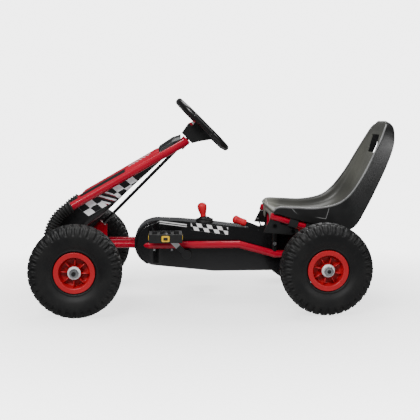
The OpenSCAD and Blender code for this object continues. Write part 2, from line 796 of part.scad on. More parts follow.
function crank_end(a) = [crank_x + crank_len * cos(a), crank_z + crank_len * sin(a)];

module crank() {
  color("silver") {
    across(crank_x, crank_z, -arm_y - 1, arm_y + 1, crank_r);
    for (s = [-1, 1]) {
      a = s > 0 ? crank_angle : crank_angle + 180;
      e = crank_end(a);
      side(s) {
        upright(arm_y, arm_y + arm_t) {
          translate([crank_x, crank_z]) rotate(a) translate([0, -8]) square([crank_len, 16]);
          translate([crank_x, crank_z]) circle(14);
          translate(e) circle(9);
        }
        across(e[0], e[1], arm_y + arm_t - 1, pedal_y + pedal_w - 3, pin_r);
      }
    }
  }
}

module pedal(s) {
  e = crank_end(s > 0 ? crank_angle : crank_angle + 180);
  rail = 9;
  color("#1b1b1b") side(s) translate([e[0], 0, e[1]]) difference() {
    union() {
      for (x = [-pedal_len / 2, pedal_len / 2 - rail])
        translate([x, pedal_y, -pedal_t / 2]) cube([rail, pedal_w, pedal_t]);
      for (y = [pedal_y, pedal_y + pedal_w - rail])
        translate([-pedal_len / 2 + 1, y, -pedal_t / 2]) cube([pedal_len - 2, rail, pedal_t]);
      for (x = [-24, 16]) translate([x, pedal_y + 1, -pedal_t / 2 + 2])
        cube([8, pedal_w - 2, pedal_t - 4]);
      across(0, 0, pedal_y, pedal_y + pedal_w, pin_r + 4);
    }
    across(0, 0, pedal_y - 5, pedal_y + pedal_w - 2, pin_r + run_gap);
  }
}

// ---------- levers ----------

// Smooth capsule grip along local Z
module grip(l, r, bore, depth) {
  difference() {
    rotate_extrude() polygon(concat([[0, 0], [r * 0.75, 0], [r * 0.85, 4]],
      [for (a = [0 : 10 : 90]) [r * cos(a), l - r + r * sin(a)]]));
    translate([0, 0, -1]) cylinder(h = depth + 1, r = bore + 0.05);
  }
}

module gear_lever() {
  color("#1b1b1b") {
    across(gear_x, gear_z, -12, 12, 7);
    across(gear_x, gear_z, -15.5, 15.5, 3);
    translate([gear_x, 0, gear_z]) rotate([0, 8, 0]) cylinder(h = 60, r = 4);
  }
}

module gear_grip() {
  color("red") translate([gear_x, 0, gear_z]) rotate([0, 8, 0]) translate([0, 0, 37])
    grip(43, 11.5, 4, 24);
}

module handbrake_lever() {
  color("dimgray") translate([brake_x, brake_y, brake_z]) {
    rotate([0, -brake_rise, 0]) {
      translate([0, -2.5, -7]) cube([78, 5, 14]);
      translate([76, 0, 0]) rotate([0, 90, 0]) cylinder(h = 24, r = 4);
    }
    across(0, 0, -2.5, 2.5, 8);
    across(0, 0, -13, 13, brake_pin_r);
    translate([-4, -2.5, -cam_r - 4]) cube([8, 5, cam_r + 2]);
    across(0, -cam_r, -8, 8, cam_pin_r);
  }
}

module handbrake_grip() {
  color("red") translate([brake_x, brake_y, brake_z]) rotate([0, 90 - brake_rise, 0])
    translate([0, 0, 79]) grip(43, 11.5, 4, 22);
}

// ---------- seat ----------

// Stations from the front lip to the top: rim x, z; inner x, z; skirt x, z; half width share
seat_rows = [
  [136, 152, 134, 152, 135, 142, 0.972], [120, 163, 118, 144, 118, 142, 0.987],
  [78, 162, 74, 132, 76, 129, 1], [8, 160, -2, 126, 3, 110, 1],
  [-52, 172, -62, 134, -60, 92, 0.98], [-89, 198, -108, 160, -105, 104, 0.96],
  [-120, 238, -138, 205, -141, 158, 0.9], [-141, 272, -160, 256, -171, 215, 0.85],
  [-167, 321, -182, 318, -203, 280, 0.78], [-188, 360, -194, 362, -225, 335, 0.7],
  [-202, 388, -203, 390, -232, 370, 0.6], [-211, 402, -210, 406, -232, 393, 0.5],
  [-216, 411, -216, 413, -226, 405, 0.42]];

module seat_shell() {
  g = [for (r = seat_rows)
    let (w = seat_half * r[6], rim = [rear_x + r[0], axle_z + r[1]],
         pan = [rear_x + r[2], axle_z + r[3]], hem = [rear_x + r[4], axle_z + r[5]],
         cheek = (rim + 2 * pan) / 3, c = (rail_half + 5) * r[6] - 1,
         f = (rail_half - 23.5) * r[6])
    [[hem[0], w, hem[1]], [rim[0], w - 2, rim[1]], [cheek[0], c, cheek[1]],
     [pan[0], f, pan[1]], [pan[0], f / 2, pan[1]], [pan[0], 0, pan[1]],
     [pan[0], -f / 2, pan[1]], [pan[0], -f, pan[1]],
     [cheek[0], -c, cheek[1]], [rim[0], -w + 2, rim[1]], [hem[0], -w, hem[1]]]];
  slot_c = [rear_x - 194, axle_z + 346];
  color("#2b2b2b") difference() {
    sheet(g, seat_wall);
    translate([slot_c[0], 0, slot_c[1]]) rotate([0, -22, 0]) cube([60, 96, 58], center = true);
  }
}

// Underside of the seat pan at x, between its second and third stations
function pan_under(x) = axle_z + seat_rows[3][3]
  + (x - rear_x - seat_rows[3][2]) * (seat_rows[2][3] - seat_rows[3][3])
  / (seat_rows[2][2] - seat_rows[3][2]) - seat_wall;

module seat_clamps() {
  color("#1b1b1b") for (s = [-1, 1]) side(s) for (l = clamp_at) {
    c = rail_at(l);
    low = c[1] - clamp_half;
    difference() {
      union() {
        translate([c[0], rail_half, c[1]]) rotate([0, -rail_slope, 0])
          translate([-clamp_half, -clamp_half + 0.5, -clamp_half])
            cube([2 * clamp_half, 2 * clamp_half - 1, 2 * clamp_half]);
        translate([c[0] - 10, rail_half - 36, low])
          cube([20, 26, pan_under(c[0] - 10) - 2 * part_gap - low]);
      }
      translate([c[0], rail_half, c[1]]) rotate([0, 90 - rail_slope, 0])
        cylinder(h = 80, r = rail_r + run_gap, center = true);
    }
  }
}

// Pawl beside the handbrake, with a ball end, turning on its own pin
module brake_pawl() {
  color("#333333") translate([pawl_x, pawl_y, pawl_z]) {
    across(0, 0, -6, 6, pawl_pin_r);
    across(0, 0, -2, 2, 5);
    bar([0, 0, 0], [12, 0, 21], 2);
    translate([13, 0, 23]) sphere(4.5);
  }
}

module frame_bolts() {
  post = rail_at(cross_at[0]);
  color("silver") for (s = [-1, 1]) side(s) {
    // Bolts up into the side tubes beside the crank
    for (x = [crank_x + 43, crank_x + 96])
      translate([x, side_half, tube_z - side_r - part_gap - 6]) cylinder(h = 6, r = 5, $fn = 6);
    // Bolts through the seat posts and the seat brackets
    across(post[0], tail_z + 33, side_half + 8 + part_gap, side_half + 13, 5.5);
    for (l = [20, 76]) {
      p = rail_point(l, -24);
      across(p[0], p[1], rail_half + 3 + part_gap, rail_half + 8, 5.5);
    }
  }
}

main_frame();
column_frame();
bumper_sleeve(1);  // bumper_sleeve_left
bumper_sleeve(-1);  // bumper_sleeve_right
hood_panel();
nose_fairing();
column_cap();
steering_bushes();
case_half_shell(1);  // chain_case_left
case_half_shell(-1);  // chain_case_right
crank_bearings();
axle_bearings();
seat_frame();
seat_brackets();
gear_gate();
chain();
king_pins();
frame_bolts();
steering_wheel();
steering_hub();
steering_shaft();
knuckle(1);  // knuckle_left
knuckle(-1);  // knuckle_right
tie_rod(1);  // tie_rod_left
tie_rod(-1);  // tie_rod_right
tyre(front_x, 1);  // front_tyre_left
tyre(front_x, -1);  // front_tyre_right
rim(front_x, 1, stub_r + 1, bearing_r + 0.05, 4);  // front_rim_left
rim(front_x, -1, stub_r + 1, bearing_r + 0.05, 4);  // front_rim_right
wheel_bearings(front_x, 1);  // front_bearings_left
wheel_bearings(front_x, -1);  // front_bearings_right
hub_cap(front_x, 1, stub_r + 1);  // front_hub_cap_left
hub_cap(front_x, -1, stub_r + 1);  // front_hub_cap_right
axle_nut(front_x, 1, stub_r);  // front_nut_left
axle_nut(front_x, -1, stub_r);  // front_nut_right
rear_axle();
tyre(rear_x, 1);  // rear_tyre_left
tyre(rear_x, -1);  // rear_tyre_right
rim(rear_x, 1, axle_r + 0.03, axle_r + 0.03, 15);  // rear_rim_left
rim(rear_x, -1, axle_r + 0.03, axle_r + 0.03, 15);  // rear_rim_right
union() {  // rear_hub_caps
  hub_cap(rear_x, 1, axle_r + 0.03);
  hub_cap(rear_x, -1, axle_r + 0.03);
}
union() {  // rear_nuts
  axle_nut(rear_x, 1, axle_r);
  axle_nut(rear_x, -1, axle_r);
}
color("silver")  // rear_sprocket
  chain_gear(rear_x, axle_z, cog_teeth, [15, 18], axle_r + 0.03);
brake_drum();
crank();
color("silver")  // chainring
  chain_gear(crank_x, crank_z, ring_teeth, [13, 20], crank_r + 0.03);
pedal(1);  // pedal_left
pedal(-1);  // pedal_right
gear_lever();
gear_grip();
handbrake_lever();
handbrake_grip();
brake_band();
seat_shell();
seat_clamps();
brake_pawl();
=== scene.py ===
"""Pedal go kart: moulded, painted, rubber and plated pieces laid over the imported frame.

+X is forward, +Y is the driver's left and +Z is up, in metres. Every new piece is a surface
worked out on a grid of two parameters, placed from the boxes of the frame's own nodes.
"""
import math

import bpy
import numpy as np
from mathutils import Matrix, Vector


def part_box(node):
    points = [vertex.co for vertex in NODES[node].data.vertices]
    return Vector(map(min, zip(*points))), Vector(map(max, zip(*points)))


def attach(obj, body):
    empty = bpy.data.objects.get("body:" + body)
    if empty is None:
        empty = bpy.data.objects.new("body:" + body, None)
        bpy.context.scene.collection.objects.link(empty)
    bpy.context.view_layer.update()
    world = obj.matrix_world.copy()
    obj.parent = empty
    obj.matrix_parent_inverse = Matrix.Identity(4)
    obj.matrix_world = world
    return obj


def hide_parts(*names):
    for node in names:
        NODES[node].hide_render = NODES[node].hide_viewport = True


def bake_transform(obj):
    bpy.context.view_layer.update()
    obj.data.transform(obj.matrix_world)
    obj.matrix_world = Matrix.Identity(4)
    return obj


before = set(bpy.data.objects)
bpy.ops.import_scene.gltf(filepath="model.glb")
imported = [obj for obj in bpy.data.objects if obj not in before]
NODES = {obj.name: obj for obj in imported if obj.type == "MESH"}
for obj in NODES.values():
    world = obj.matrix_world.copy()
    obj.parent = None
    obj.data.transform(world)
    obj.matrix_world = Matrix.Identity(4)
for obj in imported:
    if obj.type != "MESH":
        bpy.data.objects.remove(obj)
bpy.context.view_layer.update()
MM = 0.001
DEEP_RED = (0.43, 0.001, 0.02)
RIM_RED = (0.45, 0.009, 0.015)
BRIGHT_RED = (0.66, 0.004, 0.016)
ENAMEL_BLACK = (0.008, 0.008, 0.008)
# Middle of the steering hub and of the crank, and the share of a length along a 45 degree line
HUB_X, HUB_Z = 0.041, 0.532
CRANK_X, CRANK_Z = 0.09, 0.145
DIAGONAL = 0.7071
TRACK_HALF = 0.25
# Slope of the steering column, and the rise of its edges away from the middle
SLOPE = math.atan2(0.190, 0.344)
EDGE_RISE, EDGE_START = 0.278, -0.0026


# ---------------------------------------------------------------- materials

class Wave:
    """A socket that takes part in plain arithmetic: each operator adds one Math node."""

    def __init__(self, tree, socket):
        self.tree, self.socket = tree, socket

    def _math(self, operation, *terms, clamp=False):
        node = self.tree.nodes.new("ShaderNodeMath")
        node.operation = operation
        node.use_clamp = clamp
        for slot, term in zip(node.inputs, terms):
            if isinstance(term, Wave):
                self.tree.links.new(term.socket, slot)
            else:
                slot.default_value = float(term)
        return Wave(self.tree, node.outputs[0])

    def __add__(self, other):
        return self._math("ADD", self, other)

    def __radd__(self, other):
        return self._math("ADD", other, self)

    def __sub__(self, other):
        return self._math("SUBTRACT", self, other)

    def __rsub__(self, other):
        return self._math("SUBTRACT", other, self)

    def __mul__(self, other):
        return self._math("MULTIPLY", self, other)

    def __rmul__(self, other):
        return self._math("MULTIPLY", other, self)

    def __truediv__(self, other):
        return self._math("DIVIDE", self, other)

    def __rtruediv__(self, other):
        return self._math("DIVIDE", other, self)

    def __gt__(self, other):
        return self._math("GREATER_THAN", self, other)

    def __lt__(self, other):
        return self._math("LESS_THAN", self, other)

    def __neg__(self):
        return self._math("MULTIPLY", self, -1.0)

    def __mod__(self, other):
        return self._math("FLOORED_MODULO", self, other)

    def size(self):
        return self._math("ABSOLUTE", self)

    def most(self, other):
        return self._math("MAXIMUM", self, other)

    def held(self):
        return self._math("ADD", self, 0.0, clamp=True)

    def rise(self, low, high):
        """0 below low and 1 above high, straight between; high may be the lower one."""
        return ((self - low) * (1.0 / (high - low))).held()

    def within(self, low, high, soft=0.0004):
        """1 between low and high, with soft edges."""
        return self.rise(low - soft, low + soft) * (1 - self.rise(high - soft, high + soft))


class Finish:
    """One node material: a Principled shader and the few ways its textures are made."""

    def __init__(self, name, colour, rough, metal=0.0, coat=0.0, coat_rough=0.08, spec=0.5):
        self.material = bpy.data.materials.new(name)
        self.material.use_nodes = True
        self.tree = self.material.node_tree
        self.shader = self.tree.nodes["Principled BSDF"]
        self.coords = self.tree.nodes.new("ShaderNodeTexCoord")
        socket = self.shader.inputs
        socket["Base Color"].default_value = (*colour, 1)
        socket["Roughness"].default_value = rough
        socket["Metallic"].default_value = metal
        socket["Coat Weight"].default_value = coat
        socket["Coat Roughness"].default_value = coat_rough
        socket["Specular IOR Level"].default_value = spec
        self.material.diffuse_color = (*colour, 1)
        self.here = Wave(self.tree, self.coords.outputs["Object"])

    def node(self, kind, settings=(), out=0, **sockets):
        """Any other node: its settings first, then the values or links of its sockets."""
        made = self.tree.nodes.new(kind)
        for key, value in dict(settings).items():
            if key == "stops":
                ramp = made.color_ramp
                while len(ramp.elements) < len(value):
                    ramp.elements.new(0.5)
                for stop, (place, shade) in zip(ramp.elements, value):
                    stop.position = place
                    stop.color = (*shade, 1)
            else:
                setattr(made, key, value)
        for key, value in sockets.items():
            socket = int(key[1:]) if key[0] == "_" else key.replace("_", " ")
            slot = made.inputs[socket]
            if isinstance(value, Wave):
                self.tree.links.new(value.socket, slot)
            else:
                slot.default_value = value
        return Wave(self.tree, made.outputs[out])

    def place(self):
        """The three Object coordinates of the surface, in metres."""
        return [self.node("ShaderNodeSeparateXYZ", out=i, Vector=self.here) for i in range(3)]

    def speckle(self, scale, detail=3.0, rough=0.55, distort=0.0, where=None):
        return self.node("ShaderNodeTexNoise", Vector=where or self.here, Scale=scale,
                         Detail=detail, Roughness=rough, Distortion=distort)

    def cells(self, scale, where=None):
        return self.node("ShaderNodeTexVoronoi", Vector=where or self.here, Scale=scale)

    def blend(self, amount, first, second):
        """first where amount is 0 and second where it is 1; both are colours."""
        made = self.tree.nodes.new("ShaderNodeMix")
        made.data_type = "RGBA"
        for socket, value in ((0, amount), (6, first), (7, second)):
            slot = made.inputs[socket]
            if isinstance(value, Wave):
                self.tree.links.new(value.socket, slot)
            elif isinstance(value, tuple):
                slot.default_value = (*value, 1)
            else:
                slot.default_value = value
        return Wave(self.tree, made.outputs[2])

    def feed(self, name, wave):
        self.tree.links.new(wave.socket, self.shader.inputs[name])
        return self

    def relief(self, height, depth, strength=1.0):
        """Height in 0..1 turned into a bump depth metres deep."""
        bump = self.node("ShaderNodeBump", Strength=strength, Distance=depth, Height=height)
        return self.feed("Normal", bump)


def worn(finish, base, low, high, scale=9.0):
    """Base colour that drifts between two tints at hand size, with a finer speckle."""
    broad = finish.speckle(scale, 2.0)
    fine = finish.speckle(scale * 24, 2.0)
    mix = (broad * 0.7 + fine * 0.3).rise(0.35, 0.68)
    tint_low = tuple(c * low for c in base)
    tint_high = tuple(min(1.0, c * high) for c in base)
    return finish.blend(mix, tint_low, tint_high), broad, fine


def frame_paint(name="frame_paint", black_below=None, hangers=False):
    """Deep red powder coat: orange-peel ripple under a clear gloss; black below a height, or
    on the two crank hangers under the side tubes."""
    f = Finish(name, DEEP_RED, 0.3, coat=0.35, coat_rough=0.04, spec=0.25)
    colour, broad, _ = worn(f, DEEP_RED, 0.88, 1.1)
    if black_below:
        height = f.place()[2]
        colour = f.blend(height.within(-1, black_below, 0.001), colour, ENAMEL_BLACK)
    if hangers:
        x, y, z = f.place()
        hung = x.within(0.07, 0.11) * z.within(0.1, 0.1615) * y.size().rise(0.044, 0.045)
        colour = f.blend(hung.held(), colour, ENAMEL_BLACK)
    f.feed("Base Color", colour)
    f.feed("Roughness", 0.2 + 0.14 * broad)
    return f.relief(f.speckle(420, 2.0), 0.00018, 0.35)


def panel_plastic():
    """Satin red moulding: a row of plain slanted silver bars near each edge, and black trim
    along the edges lower down."""
    f = Finish("panel_plastic", DEEP_RED, 0.4, coat=0.05, coat_rough=0.2, spec=0.12)
    colour, broad, _ = worn(f, DEEP_RED, 0.9, 1.08)
    x, y, _ = f.place()
    slant = (x + y.size() * 0.6) % 0.0125
    bars = slant.within(0.0, 0.0052) * x.within(0.196, 0.262)
    reach = y.size() - EDGE_RISE * x - EDGE_START
    side = reach.within(-0.034, -0.008, 0.0005)
    print_on = (bars * side).held()
    trim = (reach.rise(-0.012, -0.0112) * x.rise(0.268, 0.272)).held()
    colour = f.blend(trim, colour, (0.012, 0.012, 0.012))
    f.feed("Base Color", f.blend(print_on, colour, (0.62, 0.62, 0.64)))
    f.feed("Roughness", 0.34 + 0.12 * broad + 0.1 * print_on)
    return f.relief(f.speckle(300, 2.0), 0.0001, 0.3)


def rim_plastic():
    """Orange-red moulded plastic, slightly waxy, with fine moulding ripple."""
    f = Finish("rim_plastic", RIM_RED, 0.4, coat=0.15, coat_rough=0.25, spec=0.35)
    colour, _, fine = worn(f, RIM_RED, 0.86, 1.12, 14)
    f.feed("Base Color", colour)
    f.feed("Roughness", 0.32 + 0.18 * fine)
    return f.relief(f.speckle(260, 3.0), 0.0002, 0.35)


def grip_rubber():
    """Bright red rubber with a matt bloom and fine pebbling."""
    f = Finish("grip_rubber", BRIGHT_RED, 0.5)
    colour, _, fine = worn(f, BRIGHT_RED, 0.88, 1.1, 30)
    f.feed("Base Color", colour)
    f.feed("Roughness", 0.42 + 0.2 * fine)
    return f.relief(1 - f.cells(900), 0.0002, 0.4)


def tyre_rubber():
    """Charcoal rubber: dustier between and on the blocks, with a fine skin on the walls."""
    f = Finish("tyre_rubber", (0.009, 0.009, 0.0095), 0.55, spec=0.3)
    broad = f.speckle(22, 4.0)
    fine = f.speckle(600, 3.0)
    dust = (broad * 0.6 + fine * 0.4).rise(0.42, 0.75)
    f.feed("Base Color", f.blend(dust, (0.0035, 0.0035, 0.0038), (0.012, 0.0118, 0.011)))
    f.feed("Roughness", 0.42 + 0.24 * broad)
    return f.relief(fine, 0.0003, 0.4)


def case_plastic():
    """Gloss black moulding with a slanted white chequer band and two stripes on each flank.
    drop is the depth below a line that falls towards the back."""
    black = (0.004, 0.004, 0.0045)
    f = Finish("case_plastic", black, 0.2, coat=0.3, coat_rough=0.06, spec=0.4)
    x, y, z = f.place()
    broad = f.speckle(12, 3.0)
    fine = f.speckle(240, 2.0)
    drop = z - 0.138 * x - 0.2274
    along = (0.0754 - x) / 0.0155 + drop * 30
    across = drop / 0.0115
    cell = ((along - (along % 1)) + (across - (across % 1))) % 2
    flank = y.size().rise(0.044, 0.0445)
    patch = drop.within(-0.023, 0.0, 0.0003) * x.within(-0.037, 0.0754, 0.0004)
    lines = ((drop.within(-0.0105, -0.0072, 0.0003) + drop.within(-0.0158, -0.0138, 0.0003))
             * x.within(0.088, 0.17, 0.0004))
    squares = (((cell < 0.5) * patch + lines) * flank).held()
    f.feed("Base Color", f.blend(squares, black, (0.9, 0.9, 0.9)))
    f.feed("Roughness", 0.15 + 0.14 * broad + 0.12 * squares)
    return f.relief(fine * 0.4 + broad * 0.6, 0.0003, 0.25)


def fairing_plastic():
    """Black moulding with slanted white blocks along its flanks, broken by a few pale bolts
    with dark red edges. along and deep run down the column and square to it, from its line."""
    black = (0.006, 0.006, 0.0065)
    f = Finish("fairing_plastic", black, 0.34, coat=0.15, coat_rough=0.15, spec=0.35)
    x, y, z = f.place()
    broad = f.speckle(16, 3.0)
    run, drop = math.cos(SLOPE), math.sin(SLOPE)
    along = run * (x - 0.259) - drop * (z - 0.3864)
    deep = -drop * (x - 0.259) - run * (z - 0.3864)
    slid = (along + 0.35 * deep) / 0.0225
    across = (deep - 0.0125) / 0.0185
    cell = ((slid - (slid % 1)) + (across - (across % 1))) % 2
    flash = slid.within(3.55, 5.3, 0.02)
    patch = deep.within(0.0125, 0.0495, 0.0004) * slid.within(0.0, 8.0, 0.02)
    flank = y.size().rise(0.028, 0.03)
    mark = ((cell < 0.5) * patch * flank * (1 - flash)).held()
    slope = (slid + across * 0.5) % 0.9
    bolt = (slope.within(0.3, 0.62, 0.02) * flash * patch * flank).held()
    base = f.blend(bolt, black, (0.86, 0.84, 0.88))
    edge = (slope.within(0.62, 0.78, 0.02) * flash * patch * flank).held()
    base = f.blend(edge, base, (0.2, 0.004, 0.02))
    f.feed("Base Color", f.blend(mark, base, (0.9, 0.9, 0.92)))
    f.feed("Roughness", 0.28 + 0.16 * broad)
    return f.relief(f.speckle(500, 2.0), 0.0002, 0.3)


def sleeve_rubber():
    """Black rubber, paler in broad patches."""
    f = Finish("sleeve_rubber", (0.008, 0.008, 0.008), 0.5, spec=0.35)
    fine = f.speckle(500, 3.0)
    broad = f.speckle(30, 3.0)
    f.feed("Base Color", f.blend(broad.rise(0.35, 0.7), (0.005, 0.005, 0.005),
                                 (0.014, 0.0136, 0.013)))
    f.feed("Roughness", 0.46 + 0.2 * broad)
    return f.relief(fine, 0.0002, 0.4)


def seat_plastic():
    """Black moulded plastic with a fine leather-like grain and a patchy grey painted sheen,
    strongest on the front lip and the upper back."""
    f = Finish("seat_plastic", (0.012, 0.012, 0.012), 0.4, spec=0.5)
    grain = f.cells(420)
    broad = f.speckle(7, 3.0)
    fine = f.speckle(900, 2.0)
    x, _, z = f.place()
    dark = f.blend(broad.rise(0.3, 0.7), (0.009, 0.009, 0.0085), (0.018, 0.018, 0.016))
    # painted sheen: stronger on the upper back, which faces the light
    back = z.rise(0.33, 0.38) * z.rise(0.52, 0.49)
    painted_sheen = (0.08 + (0.25 + 0.3 * back) * broad).held()
    # painted sheen: the front lip is lightened grey where it catches the light
    lip = (x.rise(-0.235, -0.175) * (0.6 + 0.4 * broad)).held()
    f.feed("Base Color", f.blend(painted_sheen.most(lip), dark, (0.24, 0.24, 0.205)))
    f.feed("Roughness", 0.3 + 0.14 * broad + 0.1 * grain)
    return f.relief(grain * 0.7 + fine * 0.3, 0.0004, 0.35)


def soft_plastic(name, shade, rough):
    """Matt black plastic with a spark-eroded grain."""
    f = Finish(name, (shade, shade, shade), rough)
    fine = f.speckle(800, 3.0)
    broad = f.speckle(20, 3.0)
    f.feed("Base Color", f.blend(broad.rise(0.3, 0.7), (shade * 0.75,) * 3, (shade * 1.4,) * 3))
    f.feed("Roughness", (rough - 0.08) + 0.18 * broad)
    return f.relief(fine, 0.00025, 0.4)


def cowl_plastic():
    """Black hub cowl with a plain red and white band over its upper edge."""
    f = Finish("cowl_plastic", (0.007, 0.007, 0.007), 0.36)
    x, _, z = f.place()
    high = ((x - HUB_X) + (z - HUB_Z)) * DIAGONAL
    deep = ((x - HUB_X) - (z - HUB_Z)) * DIAGONAL
    band = high.rise(0.0185, 0.0189) * deep.within(0.007, 0.025, 0.0003)
    white = (band * deep.within(0.013, 0.019, 0.0003)).held()
    broad = f.speckle(20, 3.0)
    colour = f.blend(band.held(), (0.006, 0.006, 0.006), (0.45, 0.004, 0.02))
    f.feed("Base Color", f.blend(white, colour, (0.8, 0.78, 0.78)))
    f.feed("Roughness", 0.28 + 0.18 * broad)
    return f.relief(f.speckle(800, 3.0), 0.00025, 0.4)


def black_enamel():
    f = Finish("black_enamel", (0.007, 0.007, 0.007), 0.32, coat=0.2, coat_rough=0.15)
    broad = f.speckle(25, 3.0)
    f.feed("Base Color", f.blend(broad.rise(0.3, 0.7), (0.005, 0.005, 0.005),
                                 (0.012, 0.012, 0.012)))
    f.feed("Roughness", 0.26 + 0.2 * broad)
    return f.relief(f.speckle(380, 2.0), 0.00015, 0.3)


def arm_enamel():
    """Black crank arms with a grey metallic painted highlight on their outer ends, where the
    pedals' pins screw in.
    """
    f = Finish("arm_enamel", (0.006, 0.006, 0.006), 0.35, coat=0.2, coat_rough=0.15)
    x, y, z = f.place()
    along = ((x - CRANK_X) * DIAGONAL + (z - CRANK_Z) * DIAGONAL).size()
    # painted highlight: the arms' outer ends turn grey metal
    painted_highlight = (along.rise(0.034, 0.036) * y.size().rise(0.06, 0.065)).held()
    broad = f.speckle(30, 3.0)
    # the grey of the painted highlight
    metal = f.blend(broad, (0.42, 0.42, 0.43), (0.6, 0.6, 0.6))
    f.feed("Base Color", f.blend(painted_highlight, (0.006, 0.006, 0.006), metal))
    f.feed("Metallic", painted_highlight * 0.6)
    f.feed("Roughness", 0.26 + 0.2 * broad)
    return f.relief(f.speckle(380, 2.0), 0.00015, 0.3)


def zinc_plate():
    """Bright zinc with soft grey blooms and fine drawing scratches."""
    f = Finish("zinc_plate", (0.56, 0.57, 0.58), 0.32, metal=1.0)
    broad = f.speckle(60, 4.0)
    lines = f.speckle(900, 2.0, distort=0.4)
    f.feed("Base Color", f.blend(broad.rise(0.3, 0.7), (0.42, 0.43, 0.44), (0.66, 0.67, 0.68)))
    f.feed("Roughness", 0.22 + 0.25 * broad)
    return f.relief(lines, 0.0001, 0.3)


def bolt_plate():
    """Zinc bolts low on the frame and black ones under the seat."""
    f = Finish("bolt_plate", (0.5, 0.5, 0.5), 0.3, metal=1.0)
    broad = f.speckle(60, 4.0)
    bright = f.blend(broad.rise(0.3, 0.7), (0.42, 0.43, 0.44), (0.66, 0.67, 0.68))
    height = f.place()[2]
    f.feed("Base Color", f.blend(height.rise(0.185, 0.188), bright, (0.02, 0.02, 0.02)))
    f.feed("Roughness", 0.22 + 0.25 * broad)
    return f.relief(f.speckle(900, 2.0), 0.0001, 0.3)


def chrome_plate():
    f = Finish("chrome_plate", (0.78, 0.78, 0.78), 0.08, metal=1.0)
    broad = f.speckle(80, 3.0)
    f.feed("Roughness", 0.05 + 0.1 * broad)
    f.feed("Base Color", f.blend(broad, (0.7, 0.7, 0.71), (0.84, 0.84, 0.84)))
    return f.relief(f.speckle(500, 2.0), 0.00005, 0.2)


def cap_plastic():
    f = Finish("cap_plastic", (0.72, 0.72, 0.72), 0.34, coat=0.2, coat_rough=0.2)
    broad = f.speckle(60, 3.0)
    f.feed("Base Color", f.blend(broad.rise(0.3, 0.7), (0.66, 0.66, 0.67), (0.8, 0.8, 0.8)))
    f.feed("Roughness", 0.28 + 0.18 * broad)
    return f.relief(f.speckle(300, 2.0), 0.0001, 0.3)


def nylon():
    f = Finish("nylon", (0.72, 0.7, 0.62), 0.45)
    broad = f.speckle(80, 3.0)
    f.feed("Base Color", f.blend(broad, (0.66, 0.64, 0.56), (0.78, 0.76, 0.68)))
    f.feed("Roughness", 0.38 + 0.2 * broad)
    return f.relief(f.speckle(400, 2.0), 0.0001, 0.3)


def reflector_yellow():
    """Amber-yellow reflector: a grid of small prisms under a clear face."""
    f = Finish("reflector_yellow", (0.9, 0.55, 0.02), 0.18, coat=0.8, coat_rough=0.03)
    cells = f.cells(420)
    f.feed("Base Color", f.blend(cells, (0.95, 0.66, 0.03), (0.78, 0.4, 0.01)))
    f.feed("Roughness", 0.12 + 0.2 * cells)
    return f.relief(cells, 0.0005, 0.5)


def floor_finish():
    """Pale matt floor that fades out with distance from the kart into the studio's white."""
    f = Finish("floor_finish", (0.9, 0.9, 0.9), 0.6, spec=0.2)
    broad = f.speckle(2.0, 3.0)
    f.feed("Base Color", f.blend(broad, (0.9, 0.9, 0.9), (0.93, 0.93, 0.93)))
    f.feed("Roughness", 0.55 + 0.1 * broad)
    x, y, _ = f.place()
    far = f.node("ShaderNodeMath", {"operation": "SQRT"}, _0=x * x * 0.55 + y * y * 0.8)
    f.feed("Alpha", 0.62 * (1 - far.rise(0.3, 0.95)))
    return f


PAINT = frame_paint(hangers=True)
RAIL_PAINT = frame_paint("rail_paint", 0.214)
PANEL = panel_plastic()
RIM = rim_plastic()
GRIP = grip_rubber()
TYRE = tyre_rubber()
CASE = case_plastic()
FAIRING = fairing_plastic()
SLEEVE = sleeve_rubber()
SEAT = seat_plastic()
# painted shade: a darker copy of the seat's black for its outer faces and the wall's other face
SEAT_SKIRT_SHADED = soft_plastic("seat_skirt_shaded", 0.007, 0.34)
# painted sheen: a mid grey for the seat's rim bead and flank lines, standing for the light along
# them
SEAT_RIM_SHEEN = soft_plastic("seat_rim_sheen", 0.17, 0.34)
WHEEL_GRIP = soft_plastic("wheel_grip", 0.005, 0.3)
HUB_MOULD = soft_plastic("hub_moulding", 0.009, 0.4)
COWL = cowl_plastic()
PEDAL = soft_plastic("pedal_moulding", 0.0045, 0.5)
ENAMEL = black_enamel()
ARM = arm_enamel()
ZINC = zinc_plate()
BOLTS = bolt_plate()
CHROME = chrome_plate()
CAP = cap_plastic()
NYLON = nylon()
AMBER = reflector_yellow()


# ---------------------------------------------------------------- surfaces

def quads(n, m, wrap_rows, wrap_cols):
    """Corner numbers of the faces of an n by m grid, turned so that row x column points out."""
    rows = np.arange(n if wrap_rows else n - 1)
    cols = np.arange(m if wrap_cols else m - 1)
    i, j = np.meshgrid(rows, cols, indexing="ij")
    a = i * m + j
    b = ((i + 1) % n) * m + j
    c = ((i + 1) % n) * m + (j + 1) % m
    d = i * m + (j + 1) % m
    return np.stack([a, b, c, d], -1).reshape(-1, 4)


def skin(name, grid, body, finish, wrap=(False, False), flip=False, ends=(False, False),
         replaces=(), keep=None):
    """A mesh on a grid of points: quads between neighbours, with flat fans on closed ends."""
    grid = np.asarray(grid, dtype=float)
    n, m, _ = grid.shape
    points = grid.reshape(-1, 3)
    faces = quads(n, m, *wrap)
    if keep is not None:
        faces = faces[keep.reshape(-1)]
    groups = [faces]
    for end, row in ((ends[0], 0), (ends[1], n - 1)):
        if end:
            centre = len(points)
            points = np.vstack([points, points[row * m:(row + 1) * m].mean(0)])
            j = np.arange(m)
            ring = np.stack([row * m + j, row * m + (j + 1) % m, np.full(m, centre)], -1)
            groups.append(ring if row == 0 else ring[:, ::-1])
    if flip:
        groups = [g[:, ::-1] for g in groups]
    mesh = bpy.data.meshes.new(name)
    mesh.from_pydata(points.tolist(), [], [f for g in groups for f in g.tolist()])
    mesh.validate()
    return finish_piece(name, mesh, body, finish, replaces)


